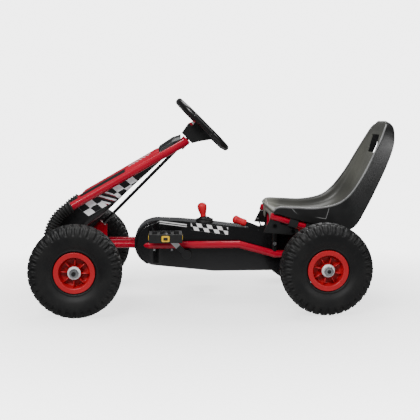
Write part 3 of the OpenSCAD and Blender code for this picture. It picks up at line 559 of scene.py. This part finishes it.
def finish_piece(name, mesh, body, finish, replaces=()):
    mesh.polygons.foreach_set("use_smooth", np.ones(len(mesh.polygons), dtype=bool))
    mesh.materials.append(finish.material)
    piece = bpy.data.objects.new(name, mesh)
    bpy.context.scene.collection.objects.link(piece)
    if body:
        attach(piece, body)
    if replaces:
        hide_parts(*replaces)
    return piece


def spline(points, count, closed=False):
    """A smooth line through points: each span is the cubic whose slopes are half the chord
    between its neighbours, read at count even steps."""
    p = np.asarray(points, dtype=float)
    if closed:
        ring = np.vstack([p[-1:], p, p[:2]])
    else:
        ring = np.vstack([2 * p[:1] - p[1:2], p, 2 * p[-1:] - p[-2:-1]])
    spans = len(ring) - 3
    t = np.linspace(0, spans, count, endpoint=not closed)
    k = np.minimum(t.astype(int), spans - 1)
    f = (t - k).reshape((-1,) + (1,) * (p.ndim - 1))
    a, b, c, d = ring[k], ring[k + 1], ring[k + 2], ring[k + 3]
    return 0.5 * (2 * b + (c - a) * f + (2 * a - 5 * b + 4 * c - d) * f ** 2
                  + (3 * b - a - 3 * c + d) * f ** 3)


def smooth_grid(grid, rows, cols):
    """A coarse grid of points made fine both ways with the same spline."""
    tall = spline(np.asarray(grid, dtype=float), rows)
    return np.swapaxes(spline(np.swapaxes(tall, 0, 1), cols), 0, 1)


def tube(path, radius, sides=24, up=(0, 1, 0)):
    """A grid round a path: at each point a circle of the given radius, square to the path."""
    path = np.asarray(path, dtype=float)
    along = np.gradient(path, axis=0)
    along /= np.linalg.norm(along, axis=1, keepdims=True)
    across = np.cross(along, up)
    across /= np.linalg.norm(across, axis=1, keepdims=True)
    over = np.cross(across, along)
    turn = np.linspace(0, 2 * np.pi, sides, endpoint=False)
    r = np.broadcast_to(np.asarray(radius, dtype=float), (len(path),))[:, None, None]
    return (path[:, None] + r * (np.cos(turn)[None, :, None] * across[:, None]
                                 + np.sin(turn)[None, :, None] * over[:, None]))


def centre(node):
    low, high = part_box(node)
    return (np.array(low) + np.array(high)) / 2


def size(node):
    low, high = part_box(node)
    return np.array(high) - np.array(low)


def soft_step(x, low, high):
    t = np.clip((x - low) / (high - low), 0, 1)
    return t * t * (3 - 2 * t)


def tablet(outline, low, high, edge, steps=4):
    """A flat plate with rounded rims. outline is a ring of (a, b) points turning left; the rim
    goes round a quarter circle of radius edge at each face, and both faces close at the middle.
    Returns a grid of local points (a, b, height)."""
    p = np.asarray(outline, dtype=float)
    ahead, back = np.roll(p, -1, 0) - p, p - np.roll(p, 1, 0)
    ahead /= np.linalg.norm(ahead, axis=1, keepdims=True)
    back /= np.linalg.norm(back, axis=1, keepdims=True)
    way = ahead + back
    way /= np.linalg.norm(way, axis=1, keepdims=True)
    inward = np.stack([-way[:, 1], way[:, 0]], -1)
    square = np.stack([-back[:, 1], back[:, 0]], -1)
    inward /= np.clip((inward * square).sum(1, keepdims=True), 0.4, 1)
    quarter = np.linspace(0, np.pi / 2, steps)
    inset = np.concatenate([edge * (1 - np.sin(quarter)), edge * (1 - np.cos(quarter))])
    level = np.concatenate([high - edge * (1 - np.cos(quarter)),
                            low + edge * (1 - np.sin(quarter))])
    rows = p[None] + inset[:, None, None] * inward[None]
    rows = np.concatenate([rows, np.broadcast_to(level[:, None, None], rows.shape[:2] + (1,))], -1)
    middle = p.mean(0)
    def inner(row, share):
        face = row.copy()
        face[:, :2] = middle + (row[:, :2] - middle) * share
        return face
    return np.stack([inner(rows[0], 0.0), inner(rows[0], 0.5), *rows, inner(rows[-1], 0.5),
                     inner(rows[-1], 0.0)])


def rounded_ring(wide, tall, corner, count=12):
    """Outline of a rounded rectangle, turning left: four corner arcs joined by straight sides."""
    arc = np.linspace(0, np.pi / 2, count)
    points = []
    for k, (sx, sy) in enumerate(((1, 1), (-1, 1), (-1, -1), (1, -1))):
        turn = arc + k * np.pi / 2
        points.append(np.stack([sx * (wide / 2 - corner) + corner * np.cos(turn),
                                sy * (tall / 2 - corner) + corner * np.sin(turn)], -1))
    return np.vstack(points)


def seated(local, origin, a, b, c):
    """Local points carried to the kart: origin plus each coordinate along its own direction."""
    return (np.asarray(origin) + local[..., :1] * np.asarray(a) + local[..., 1:2] * np.asarray(b)
            + local[..., 2:3] * np.asarray(c))


def plate(name, outline, low, high, edge, origin, a, b, c, body, finish, replaces=()):
    grid = seated(tablet(outline, low, high, edge), origin, a, b, c)
    flip = np.dot(np.cross(a, b), c) > 0
    return skin(name, grid, body, finish, wrap=(False, True), flip=flip, replaces=replaces)


def turned(name, profile, origin, axis, body, finish, sides=48, closed=False, replaces=(),
           shape=None):
    """A shape turned on an axis: each (radius, height) of the profile goes round a circle."""
    axis = np.asarray(axis, dtype=float) / np.linalg.norm(axis)
    helper = np.array([0.0, 0.0, 1.0]) if abs(axis[2]) < 0.9 else np.array([1.0, 0.0, 0.0])
    a = np.cross(helper, axis)
    a /= np.linalg.norm(a)
    b = np.cross(axis, a)
    p = np.asarray(profile, dtype=float)
    turn = np.linspace(0, 2 * np.pi, sides, endpoint=False)
    r = np.broadcast_to(p[:, :1], (len(p), sides))
    h = np.broadcast_to(p[:, 1:2], (len(p), sides))
    if shape is not None:
        r, h = shape(r, h, turn[None, :])
    local = np.stack([r * np.cos(turn), r * np.sin(turn), h], -1)
    return skin(name, seated(local, origin, a, b, axis), body, finish, wrap=(closed, True),
                replaces=replaces)


# ---------------------------------------------------------------- wheels

TYRE_R = size("front_tyre_left")[2] / 2
TYRE_HALF = size("front_tyre_left")[1] / 2
BLOCKS = 34
BEAD_R = 0.0575


def tyre_profile():
    """Half of the casing's outline as (radius, height): bead, ridge, wall, shoulder, crown."""
    r, h = TYRE_R, TYRE_HALF
    half = [(BEAD_R, h - 0.0145), (0.0592, h - 0.0108), (0.0622, h - 0.0088), (0.0655, h - 0.0092),
            (0.0705, h - 0.0072), (0.080, h - 0.0028), (0.093, h - 0.0004), (0.104, h - 0.0002),
            (0.113, h - 0.0016), (0.1205, h - 0.0056), (0.1262, h - 0.0125),
            (r - 0.0012, h - 0.0225), (r - 0.0003, h - 0.031), (r, 0.0)]
    return np.array(half)


def tyre(name, x, s, body, replaces):
    """The casing: its outline goes round the axle, and grooves sink it between the tread blocks.
    Blocks are cut by waves round the tyre; the shoulder ones run down over the wall's edge."""
    half = spline(tyre_profile(), 44)
    mirror = half[:-1] * [1, -1]
    inside = [[BEAD_R, -TYRE_HALF * 0.3], [BEAD_R, TYRE_HALF * 0.3]]
    outline = np.vstack([half, mirror[::-1], inside])
    ahead = np.roll(outline, -1, 0) - np.roll(outline, 1, 0)
    ahead /= np.linalg.norm(ahead, axis=1, keepdims=True)
    inward = np.stack([ahead[:, 1], -ahead[:, 0]], -1)
    inward *= np.sign((inward * (np.array([0.09, 0.0]) - outline)).sum(1, keepdims=True))

    def shape(r, h, turn):
        side = np.abs(h)
        lean = np.where(h > 0, 0.0, 0.5)
        wave = (turn / (2 * np.pi) * BLOCKS + lean) % 1
        shoulder = soft_step(r, 0.1045, 0.1085) * soft_step(side, 0.0205, 0.0225)
        middle = soft_step(r, 0.12, 0.123) * (1 - soft_step(side, 0.0175, 0.0195))
        gap = 1 - soft_step(np.abs(wave - 0.5), 0.13, 0.19)
        skew = (turn / (2 * np.pi) * BLOCKS + 0.5 + side * 18) % 1
        inner_gap = 1 - soft_step(np.abs(skew - 0.5), 0.1, 0.16)
        ring = soft_step(r, 0.12, 0.123) * (1 - soft_step(np.abs(side - 0.02), 0.0012, 0.0026))
        crown = soft_step(r, 0.12, 0.123) * (1 - soft_step(side, 0.0012, 0.0026))
        notch = shoulder * (1 - soft_step(np.abs(wave - 0.02), 0.03, 0.05)) * 0.35
        sunk = np.maximum.reduce([gap * shoulder, inner_gap * middle, ring, crown, notch])
        depth = 0.0046 * sunk
        return r + depth * inward[:, :1], h + depth * inward[:, 1:2]

    return turned(name, outline, (x, s * TRACK_HALF, TYRE_R), (0, s, 0), body, TYRE,
                  sides=BLOCKS * 14, closed=True, replaces=replaces, shape=shape)


def rim(name, x, s, body, phase, replaces):
    """A moulded wheel: a rolled outer ring, a coned dish, a hub barrel and eight thin ribs."""
    f = 0.035
    ring = [(0.0195, 0.0085), (0.023, 0.0095), (0.036, 0.0105), (0.0405, 0.0155), (0.042, 0.026),
            (0.0424, f - 0.003), (0.0438, f - 0.0006), (0.047, f), (0.0548, f),
            (0.0568, f - 0.001), (0.057, f - 0.004), (0.0562, 0.028), (0.0558, 0.0),
            (0.0562, -0.028), (0.057, -f + 0.004),
            (0.0564, -f + 0.0022), (0.0548, -f + 0.002), (0.052, -f + 0.0035), (0.0518, -0.01),
            (0.051, 0.0), (0.047, 0.003), (0.036, 0.004), (0.02, 0.003), (0.018, -0.004),
            (0.0178, -0.0285), (0.012, -0.029), (0.0115, 0.0), (0.012, 0.0285), (0.0178, 0.0288),
            (0.0184, 0.0135)]
    outline = spline(ring, 150, closed=True)
    turned(name, outline, (x, s * TRACK_HALF, TYRE_R), (0, s, 0), body, RIM,
           sides=96, closed=True, replaces=replaces)
    blade = np.array([(0.0172, 0.004), (0.0445, 0.008), (0.0432, 0.0215), (0.034, 0.0245),
                      (0.0172, 0.0262)])
    for k in range(8):
        turn = math.radians(phase + 45 * k)
        out = np.array((math.cos(turn), 0, math.sin(turn)))
        side = np.array((-math.sin(turn), 0, math.cos(turn)))
        plate(f"{name}_rib_{k}", blade, -0.0016, 0.0016, 0.0012, (x, s * TRACK_HALF, TYRE_R),
              out, (0, s, 0), side, body, RIM)


for word, phase in (("front", 4), ("rear", 15)):
    x = centre(f"{word}_tyre_left")[0]
    for s, hand in ((1, "left"), (-1, "right")):
        body = f"front_wheel_{hand}" if word == "front" else "rear_axle"
        tyre(f"{word}_tread_{hand}", x, s, body, [f"{word}_tyre_{hand}"])
        rim(f"{word}_moulded_rim_{hand}", x, s, body, phase, [f"{word}_rim_{hand}"])


for s, hand in ((1, "left"), (-1, "right")):
    face = max(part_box("rear_nuts")[1][1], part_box("rear_axle")[1][1])
    turned(f"rear_axle_end_{hand}",
           [(0, 0.0012), (0.0048, 0.001), (0.0056, 0.0002), (0.0056, -0.001)],
           (centre("rear_tyre_left")[0], s * face, TYRE_R), (0, s, 0), "rear_axle",
           SLEEVE, sides=32)


# ---------------------------------------------------------------- seat

REAR_X = centre("rear_tyre_left")[0]
SEAT_HALF = 0.145
SLOT_HALF, SLOT_LOW, SLOT_HIGH = 0.047, 0.449, 0.503
# From the front lip to the top, in mm from the rear axle: rim, pan and hem as (forward, up),
# then the share of the full width
SEAT_STATIONS = [
    (136, 152, 134, 152, 135, 142, 0.972), (120, 163, 118, 144, 118, 142, 0.987),
    (78, 162, 74, 132, 76, 129, 1.0), (8, 160, -2, 126, 3, 110, 1.0),
    (-52, 172, -62, 134, -60, 92, 0.98), (-89, 198, -108, 160, -105, 104, 0.96),
    (-120, 238, -138, 205, -141, 158, 0.9), (-141, 272, -160, 256, -171, 215, 0.85),
    (-167, 321, -182, 318, -203, 280, 0.78), (-188, 360, -194, 362, -225, 335, 0.7),
    (-202, 388, -203, 390, -232, 370, 0.6), (-211, 402, -210, 406, -232, 393, 0.5),
    (-216, 411, -216, 413, -226, 405, 0.42)]


def seat():
    """The bucket: at each station a line runs hem, rim, cheek, pan and back up the other side;
    splines both ways make it smooth. Outside the rim it takes the skirt's darker finish, a
    painted shade copy of the seat's black without the inner sheen. A bead runs along each rim
    and a raised line marks each flank, both in a grey that is painted sheen."""
    half = SEAT_HALF
    lines = []
    for rx, rz, px, pz, hx, hz, share in SEAT_STATIONS:
        w = half * share / MM
        cheek = ((rx + 2 * px) / 3, (rz + 2 * pz) / 3)
        knee = ((rx * 0.75 + px * 0.25), (rz * 0.86 + pz * 0.14))
        right = [(hx, w, hz), ((hx + rx) / 2, w + 0.3, (hz + rz) / 2), (rx, w - 0.6, rz - 1.6),
                 (rx, w - 3.2, rz), (knee[0], w - 7, knee[1]), (cheek[0], w - 13, cheek[1]),
                 (px, w * 0.72, pz), (px, w * 0.36, pz), (px, 0, pz)]
        left = [(a, -b, c) for a, b, c in right[-2::-1]]
        lines.append([(REAR_X + a * MM, b * MM, TYRE_R + c * MM) for a, b, c in right + left])
    grid = smooth_grid(lines, 112, 129)
    column = np.abs(np.linspace(-1, 1, grid.shape[1]))[None, :]
    mid = (grid[:-1, :-1] + grid[1:, 1:]) / 2
    keep = ~((np.abs(mid[..., 1]) < SLOT_HALF) & (mid[..., 2] > SLOT_LOW)
             & (mid[..., 2] < SLOT_HIGH) & (column[:, 1:] < 0.62))
    shell = skin("bucket_seat", grid, "seat", SEAT, keep=keep,
                 replaces=["seat_shell"])
    # the second slot holds the darker painted-shade copy, for the outer faces and the wall's inside
    shell.data.materials.append(SEAT_SKIRT_SHADED.material)
    outer = np.broadcast_to(column[:, 1:] * 0.5 + column[:, :-1] * 0.5 > 0.7, keep.shape)[keep]
    shell.data.polygons.foreach_set("material_index", outer.astype(np.int32))
    wall = shell.modifiers.new("wall", "SOLIDIFY")
    wall.thickness = 0.004
    wall.offset = -1
    wall.material_offset = 1
    soft = shell.modifiers.new("soft edge", "BEVEL")
    soft.width = 0.0012
    soft.segments = 2
    soft.limit_method = "ANGLE"
    soft.angle_limit = math.radians(50)
    for s, hand in ((1, "left"), (-1, "right")):
        line = np.array([(REAR_X + r[0] * MM, s * (half * r[6] - 0.0018),
                          TYRE_R + r[1] * MM - 0.0008) for r in SEAT_STATIONS[:-1]])
        bead = tube(spline(line, 90), 0.003, 12, up=(0, 1, 0))
        # the rim bead's grey is painted sheen
        skin(f"seat_rolled_edge_{hand}", bead, "seat", SEAT_RIM_SHEEN, wrap=(False, True),
             ends=(True, True))
        mark = np.array([(-0.213, 0.292), (-0.231, 0.273), (-0.316, 0.2585), (-0.325, 0.289)])
        sides = [np.linspace(a, b, 14)[1:] for a, b in zip(mark[:-1], mark[1:])]
        mark = np.vstack([mark[:1], *sides])
        flank = np.column_stack([mark[:, 0], np.full(len(mark), s * (half - 0.0006)), mark[:, 1]])
        # the flank line's grey is a painted highlight along the recess's edge
        skin(f"seat_flank_line_{hand}", tube(flank, 0.0011, 8), "seat", SEAT_RIM_SHEEN,
             wrap=(False, True), ends=(True, True))


def seat_lip():
    """The front lip: an arc from the front edge forward and down. Soft steps across the seat
    make it shallow over the rails and over the handbrake's travel, and deep between them."""
    v = np.linspace(-1, 1, 81)[None, :]
    a = np.linspace(0, np.pi / 2, 14)[:, None]
    y = v * 0.1375
    hung = soft_step(np.abs(y), 0.042, 0.062) * (1 - soft_step(np.abs(y), 0.106, 0.117))
    deep = 0.012 + 0.022 * hung
    x0, z0 = REAR_X + 0.1205, TYRE_R + 0.1445 + 0.0185 * np.abs(v) ** 6
    x = x0 + 0.0165 * np.sin(a) * (1 - 0.5 * np.abs(v) ** 8)
    z = z0 - deep * (1 - np.cos(a)) + 0.002 * np.sin(2 * a)
    grid = np.stack(np.broadcast_arrays(x, y, z), -1)
    lip = skin("seat_front_lip", grid, "seat", SEAT)
    wall = lip.modifiers.new("wall", "SOLIDIFY")
    wall.thickness = 0.003


seat()
seat_lip()


# ---------------------------------------------------------------- steering column

SLEEVE_LOW, SLEEVE_HIGH = (np.array(v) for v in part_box("bumper_sleeve_left"))
BEND = 0.115
SLEEVE_R = 0.018
COVER_WALL = 0.0025
BEND_X = SLEEVE_HIGH[0] - SLEEVE_R - BEND
BEND_Z = SLEEVE_LOW[2] + 0.026
TUBE_Y = (SLEEVE_LOW[1] + SLEEVE_HIGH[1]) / 2
COLUMN_X = BEND_X + BEND * math.sin(SLOPE)
COLUMN_Z = BEND_Z + BEND * math.cos(SLOPE)
TOP_X = COLUMN_X - 0.344
TOP_Y = 0.024
SPREAD = (TUBE_Y - TOP_Y) / math.hypot(0.344, 0.190)


def line_z(x):
    return COLUMN_Z + (COLUMN_X - x) * math.tan(SLOPE)


def line_y(x):
    return TOP_Y + (TUBE_Y - TOP_Y) * (x - TOP_X) / (COLUMN_X - TOP_X)


def ribbed_sleeve(name, s, replaces):
    """A rubber sleeve along the bumper's bend: a circle round the tube's path, its radius
    rippled by a power of a cosine of the distance run, and tucked in at both ends."""
    arc = np.linspace(math.radians(90) - SLOPE, 0, 150)
    bend = np.stack([BEND_X + BEND * np.cos(arc), np.full_like(arc, s * TUBE_Y),
                     BEND_Z + BEND * np.sin(arc)], -1)
    fall = np.linspace(0, 0.026, 36)[1:]
    leg = np.stack([np.full_like(fall, BEND_X + BEND), np.full_like(fall, s * TUBE_Y),
                    BEND_Z - fall], -1)
    rise = np.linspace(0.007, 0, 12)[:-1]
    straight = np.stack([bend[0, 0] - rise * math.cos(SLOPE), s * (TUBE_Y - rise * SPREAD),
                         bend[0, 2] + rise * math.sin(SLOPE)], -1)
    path = np.vstack([straight, bend, leg])
    run = np.concatenate([[0], np.cumsum(np.linalg.norm(np.diff(path, axis=0), axis=1))])
    tuck = soft_step(run, 0, 0.003) * (1 - soft_step(run, run[-1] - 0.003, run[-1]))
    ripple = (0.5 + 0.5 * np.cos(run / 0.0085 * 2 * np.pi)) ** 1.4
    radius = 0.0134 + (SLEEVE_R - 0.0134 + 0.0008) * tuck * (1 - 0.78 * ripple)
    skin(name, tube(path, radius, 36), "chassis", SLEEVE, wrap=(False, True),
         ends=(True, True), replaces=replaces)


ribbed_sleeve("ribbed_sleeve_left", 1, ["bumper_sleeve_left"])
ribbed_sleeve("ribbed_sleeve_right", -1, ["bumper_sleeve_right"])


def cover(name, x0, x1, crown0, crown1, dip, finish, replaces):
    """A crowned cover over the two column tubes, from x0 to x1: across it a parabola whose
    height goes from crown0 to crown1, along it the column's own slope. Its side edges roll
    down round the tubes, and its upper end dips by dip."""
    u = np.linspace(-1, 1, 61)[None, :]
    x = np.linspace(x0, x1, 70)[:, None]
    crown = crown0 + (crown1 - crown0) * (x - x0) / (x1 - x0)
    wide = line_y(x) + 0.003
    rolled = 0.007 * soft_step(np.abs(u), 0.9, 1.0)
    ends = dip * (1 - soft_step(x - x0, 0, 4 * dip)) + 0.0025 * soft_step(x - x1, -0.004, 0)
    z = (line_z(x) + 0.01665 + crown * (1 - u ** 2) - rolled * (0.4 + 0.6 * np.abs(u)) - ends)
    grid = np.stack(np.broadcast_arrays(x, u * wide, z), -1)
    piece = skin(name, grid, "chassis", finish, flip=True, replaces=replaces)
    wall = piece.modifiers.new("wall", "SOLIDIFY")
    wall.thickness = COVER_WALL
    wall.offset = -1


HOOD_LOW, HOOD_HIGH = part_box("hood_panel")
CAP_LOW, CAP_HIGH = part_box("column_cap")
cover("red_hood", HOOD_LOW[0], HOOD_HIGH[0], 0.009, 0.003, 0.0025, PANEL,
      ["hood_panel"])
cover("column_cover", CAP_LOW[0], CAP_HIGH[0], 0.019, 0.012, 0.007, FAIRING,
      ["column_cap"])


def nose_fairing():
    """The tray under the column: its rows deepen towards the axle beam and its floor swings
    forward; splines both ways round it off."""
    drop = (8, 40, 70, 72, 76, 60, 44)
    top_x = (160, 246, 332, 392, 430, 456, 466)
    back = (0, 0, 0, 0, 2, 14, 36)
    run = (0, 4, 0, -12, -30, -42, -40)
    shift = centre("front_tyre_left")[0] - 0.402
    rows = []
    for d, tx, tb, rn in zip(drop, top_x, back, run):
        x = tx * MM + shift
        w = min(line_y(x), TUBE_Y - 0.006) - 0.014
        z = line_z(x) - 0.006 - tb * MM
        f, xb, zb = w * 0.82, x + rn * MM, z - d * MM
        right = [(x, w, z), ((x + xb) / 2, w + 0.0003, (z + zb) / 2),
                 ((x + 5 * xb) / 6, w - 0.001, (z + 5 * zb) / 6), (xb, f, zb), (xb, f * 0.5, zb),
                 (xb, 0, zb)]
        rows.append(right + [(a, -b, c) for a, b, c in right[-2::-1]])
    piece = skin("nose_tray", smooth_grid(rows, 80, 81), "chassis", FAIRING,
                 replaces=["nose_fairing"])
    wall = piece.modifiers.new("wall", "SOLIDIFY")
    wall.thickness = COVER_WALL
    wall.offset = -1


nose_fairing()


def nose_cheek(s, hand):
    """The case's round nose: a disc about the nose's centre whose flank swells outwards towards
    the front by a soft step along x, and rolls in at its rim by a quarter circle."""
    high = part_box(f"chain_case_{hand}")[1]
    nose_r = 0.069
    cx, cz = high[0] - nose_r, high[2] - nose_r
    radius = nose_r + 0.0002
    turn = np.linspace(0, 2 * np.pi, 120, endpoint=False)[None, :]
    q = np.linspace(0, 1, 60)[:, None]
    roll = np.clip((q - 0.66) / 0.34, 0, 1)
    out = radius * np.where(q < 0.66, q / 0.66 * 0.86, 0.86 + 0.14 * np.sin(roll * np.pi / 2))
    x = cx + out * np.cos(turn)
    z = cz + out * np.sin(turn)
    swell = 0.0465 + 0.0195 * soft_step(x, cx - 0.016, cx + 0.026)
    front = soft_step(x, cx - 0.012, cx + 0.02)
    y = swell - (swell - 0.03) * (1 - np.cos(roll * np.pi / 2)) * front
    grid = np.stack(np.broadcast_arrays(x, s * y, z), -1)
    skin(f"nose_cheek_{hand}", grid, "chassis", CASE, wrap=(False, True),
         flip=s < 0)


nose_cheek(1, "left")
nose_cheek(-1, "right")

# The wheel's own directions: up the shaft to the driver, up the wheel's plane, and to the left
SHAFT = np.array((-1.0, 0.0, 1.0)) / math.sqrt(2)
TALL = np.array((1.0, 0.0, 1.0)) / math.sqrt(2)
LEFT = np.array((0.0, 1.0, 0.0))
WHEEL_C = centre("steering_wheel")


def steering_wheel():
    """The wheel: a rounded rectangle swept with an oval that swells at both hand grips; flat
    spokes and a round middle pad without any badge."""
    wide, tall = size("steering_wheel")[1], 0.210
    line = rounded_ring(wide - 0.019, tall - 0.019, 0.062, 28)
    ring = spline(line, 360, closed=True)
    beside = soft_step(np.abs(ring[:, 0]), 0.105, 0.118)
    path = seated(np.column_stack([ring, np.zeros(len(ring))]), WHEEL_C, LEFT, TALL, SHAFT)
    ahead = np.roll(path, -1, 0) - np.roll(path, 1, 0)
    ahead /= np.linalg.norm(ahead, axis=1, keepdims=True)
    out = np.cross(ahead, SHAFT)
    turn = np.linspace(0, 2 * np.pi, 28, endpoint=False)
    r_out = 0.0094 + 0.0012 * beside
    r_up = 0.0094 + 0.0006 * beside
    grid = (path[:, None] + (r_out[:, None] * np.cos(turn))[..., None] * out[:, None]
            + (r_up[:, None] * np.sin(turn))[..., None] * SHAFT)
    skin("steering_rim", grid, "steering", WHEEL_GRIP, wrap=(True, True),
         replaces=["steering_wheel"])
    bar = [(-0.118, -0.013), (-0.04, -0.021), (0.04, -0.021), (0.118, -0.013), (0.118, 0.013),
           (0.04, 0.021), (-0.04, 0.021), (-0.118, 0.013)]
    plate("steering_cross_spoke", bar, -0.0042, 0.0028, 0.002, WHEEL_C, LEFT, TALL, SHAFT,
          "steering", HUB_MOULD)
    foot = [(-0.012, -0.094), (0.012, -0.094), (0.022, -0.02), (0.022, 0.0), (-0.022, 0.0),
            (-0.022, -0.02)]
    plate("steering_low_spoke", foot, -0.004, 0.0024, 0.0018, WHEEL_C, LEFT, TALL, SHAFT,
          "steering", HUB_MOULD)
    turned("steering_pad", [(0, 0.009), (0.02, 0.0088), (0.027, 0.0078), (0.0302, 0.0055),
                            (0.031, 0.002), (0.031, -0.003), (0, -0.003)],
           WHEEL_C, SHAFT, "steering", HUB_MOULD, sides=64)
    turned("steering_pad_ring", [(0.0225, 0.0086), (0.0238, 0.0096), (0.0256, 0.0094),
                                 (0.0262, 0.0078), (0.0225, 0.0078)],
           WHEEL_C, SHAFT, "steering", ZINC, sides=64, closed=True)
    for s, hand in ((1, "left"), (-1, "right")):
        for k, (a, b) in enumerate(((0.062, 0.006), (0.082, 0.004))):
            spot = WHEEL_C + s * a * LEFT + b * TALL
            turned(f"thumb_button_{hand}_{k}", [(0, 0.0062), (0.004, 0.006), (0.0056, 0.0045),
                                                (0.006, 0.002), (0, 0.0018)],
                   spot, SHAFT, "steering", GRIP, sides=32)


steering_wheel()


# ---------------------------------------------------------------- levers and pedals

def handle(name, node, axis, length, body, widths, replaces):
    """A moulded grip turned on its lever: a spline through the radii given from foot to tip,
    closed at the foot and domed at the tip by a quarter ellipse."""
    axis = np.asarray(axis) / np.linalg.norm(axis)
    t = np.linspace(0, 1, 90)
    dome = np.sqrt(1 - np.clip((t - 0.72) / 0.28, 0, 1) ** 2)
    r = spline(np.array(widths)[:, None], 90)[:, 0] * MM * dome
    profile = np.vstack([[0, -length / 2], np.column_stack([r, (t - 0.5) * length])])
    turned(name, profile, centre(node), axis, body, GRIP, sides=48, replaces=replaces)


LEAN = math.radians(8)
RISE = math.radians(21.5)
handle("gear_knob", "gear_grip", (math.sin(LEAN), 0, math.cos(LEAN)), 0.043, "gear_lever",
       (9, 9.5, 11.5, 13.5, 14.5, 14.5, 14), ["gear_grip"])
handle("brake_handle", "handbrake_grip", (math.cos(RISE), 0, math.sin(RISE)), 0.043, "handbrake",
       (10.5, 11.5, 11, 11, 12, 13.5, 13), ["handbrake_grip"])

GATE = centre("gear_gate")
GATE_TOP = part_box("gear_gate")[1][2]
# The boot's foot stays on its gate
boot = turned("gear_boot", [(0.0262, -0.014), (0.0268, -0.004), (0.0235, 0.0), (0.0175, 0.0018),
                            (0.0182, 0.003), (0.0145, 0.0042), (0.015, 0.0052), (0.0118, 0.006)],
       (GATE[0], 0, GATE_TOP), (0, 0, 1), None, SLEEVE, sides=64)
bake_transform(boot)

for s, hand in ((1, "left"), (-1, "right")):
    low, high = (np.array(v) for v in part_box(f"pedal_{hand}"))
    mid = (low + high) / 2
    spread = (high - low) / 2
    for end, word in ((1, "front"), (-1, "rear")):
        lens = rounded_ring(0.056, 0.013, 0.004, 6)
        plate(f"pedal_reflector_{hand}_{word}", lens, -0.0005, 0.0016, 0.0008,
              (mid[0] + end * spread[0], mid[1], mid[2]), (0, end, 0), (0, 0, 1), (end, 0, 0),
              f"pedal_{hand}", AMBER)
    outer = high[1] if s > 0 else low[1]
    window = rounded_ring(0.023, 0.0175, 0.0035, 6)
    plate(f"pedal_end_reflector_{hand}", window, -0.0005, 0.0014, 0.0008, (mid[0], outer, mid[2]),
          (s, 0, 0), (0, 0, 1), (0, s, 0), f"pedal_{hand}", AMBER)
    plate(f"pedal_end_plug_{hand}", rounded_ring(0.0125, 0.0085, 0.002, 6), 0, 0.003, 0.0008,
          (mid[0], outer, mid[2]), (s, 0, 0), (0, 0, 1), (0, s, 0), f"pedal_{hand}",
          PEDAL)

# ---------------------------------------------------------------- finishes of the frame's own nodes

KEPT = {
    PAINT: ("main_frame", "column_frame"),
    RAIL_PAINT: ("seat_frame",),
    BOLTS: ("frame_bolts",),
    CASE: ("chain_case_left", "chain_case_right", "gear_gate"),
    NYLON: ("steering_bushes",),
    ENAMEL: ("seat_brackets", "steering_shaft", "knuckle_left", "knuckle_right", "handbrake_lever",
             "gear_lever", "brake_pawl"),
    ARM: ("crank",),
    COWL: ("steering_hub",),
    HUB_MOULD: ("seat_clamps",),
    PEDAL: ("pedal_left", "pedal_right"),
    CAP: ("front_hub_cap_left", "front_hub_cap_right", "rear_hub_caps"),
    CHROME: ("front_nut_left", "front_nut_right", "rear_nuts"),
    ZINC: ("crank_bearings", "axle_bearings", "chain", "king_pins", "tie_rod_left",
           "tie_rod_right", "front_bearings_left", "front_bearings_right", "rear_axle",
           "rear_sprocket", "brake_drum", "chainring", "brake_band"),
}
for finish, names in KEPT.items():
    for node_name in names:
        stock = NODES[node_name].data.materials
        if len(stock) == 0:
            stock.append(finish.material)
        for k in range(len(stock)):
            stock[k] = finish.material

# ---------------------------------------------------------------- floor, light and camera

floor_mesh = bpy.data.meshes.new("floor")
floor_mesh.from_pydata([(-9, -9, 0), (9, -9, 0), (9, 9, 0), (-9, 9, 0)], [], [(0, 1, 2, 3)])
floor_mesh.materials.append(floor_finish().material)
floor = bpy.data.objects.new("floor", floor_mesh)
bpy.context.scene.collection.objects.link(floor)

world = bpy.data.worlds.new("studio")
world.use_nodes = True
sky = world.node_tree
room = sky.nodes["Background"]
room.inputs[0].default_value = (0.95, 0.97, 1.0, 1)
room.inputs[1].default_value = 0.17
paper = sky.nodes.new("ShaderNodeBackground")
paper.inputs[0].default_value = (1, 1, 1, 1)
paper.inputs[1].default_value = 4.6
path = sky.nodes.new("ShaderNodeLightPath")
both = sky.nodes.new("ShaderNodeMixShader")
sky.links.new(path.outputs["Is Camera Ray"], both.inputs[0])
sky.links.new(room.outputs[0], both.inputs[1])
sky.links.new(paper.outputs[0], both.inputs[2])
sky.links.new(both.outputs[0], sky.nodes["World Output"].inputs[0])
bpy.context.scene.world = world


def lamp(name, place, aim, wide, power, tint=(1, 1, 1)):
    light = bpy.data.lights.new(name, "AREA")
    light.shape = "RECTANGLE"
    light.size, light.size_y = wide
    light.energy = power
    light.color = tint
    thing = bpy.data.objects.new(name, light)
    bpy.context.scene.collection.objects.link(thing)
    thing.location = place
    way = np.array(place) - np.array(aim)
    flat = math.hypot(way[0], way[1])
    thing.rotation_euler = (math.atan2(flat, way[2]), 0, math.atan2(way[1], way[0]) + math.pi / 2)


lamp("key", (1.4, 2.6, 2.6), (0, 0, 0.25), (1.5, 0.9), 92)
lamp("fill", (-2.2, 2.2, 1.6), (0, 0, 0.25), (1.2, 1.4), 34)
lamp("top", (0.0, -0.6, 3.0), (0, 0, 0.2), (2.0, 1.2), 66)
lamp("spark", (0.7, 2.3, 1.9), (0.1, 0, 0.2), (0.3, 0.3), 15)
lamp("rim", (-1.0, -2.6, 1.8), (0, 0, 0.3), (1.4, 0.9), 30)

view = bpy.data.cameras.new("camera")
view.lens = 70.8
view.sensor_width = 36
camera = bpy.data.objects.new("camera", view)
bpy.context.scene.collection.objects.link(camera)
camera.location = (0.155, 2.518, 0.552)
YAW, PITCH, ROLL = -0.0554, 0.1113, -0.0008
camera.rotation_euler = (math.pi / 2 - PITCH, ROLL, math.pi + YAW)
bpy.context.scene.camera = camera
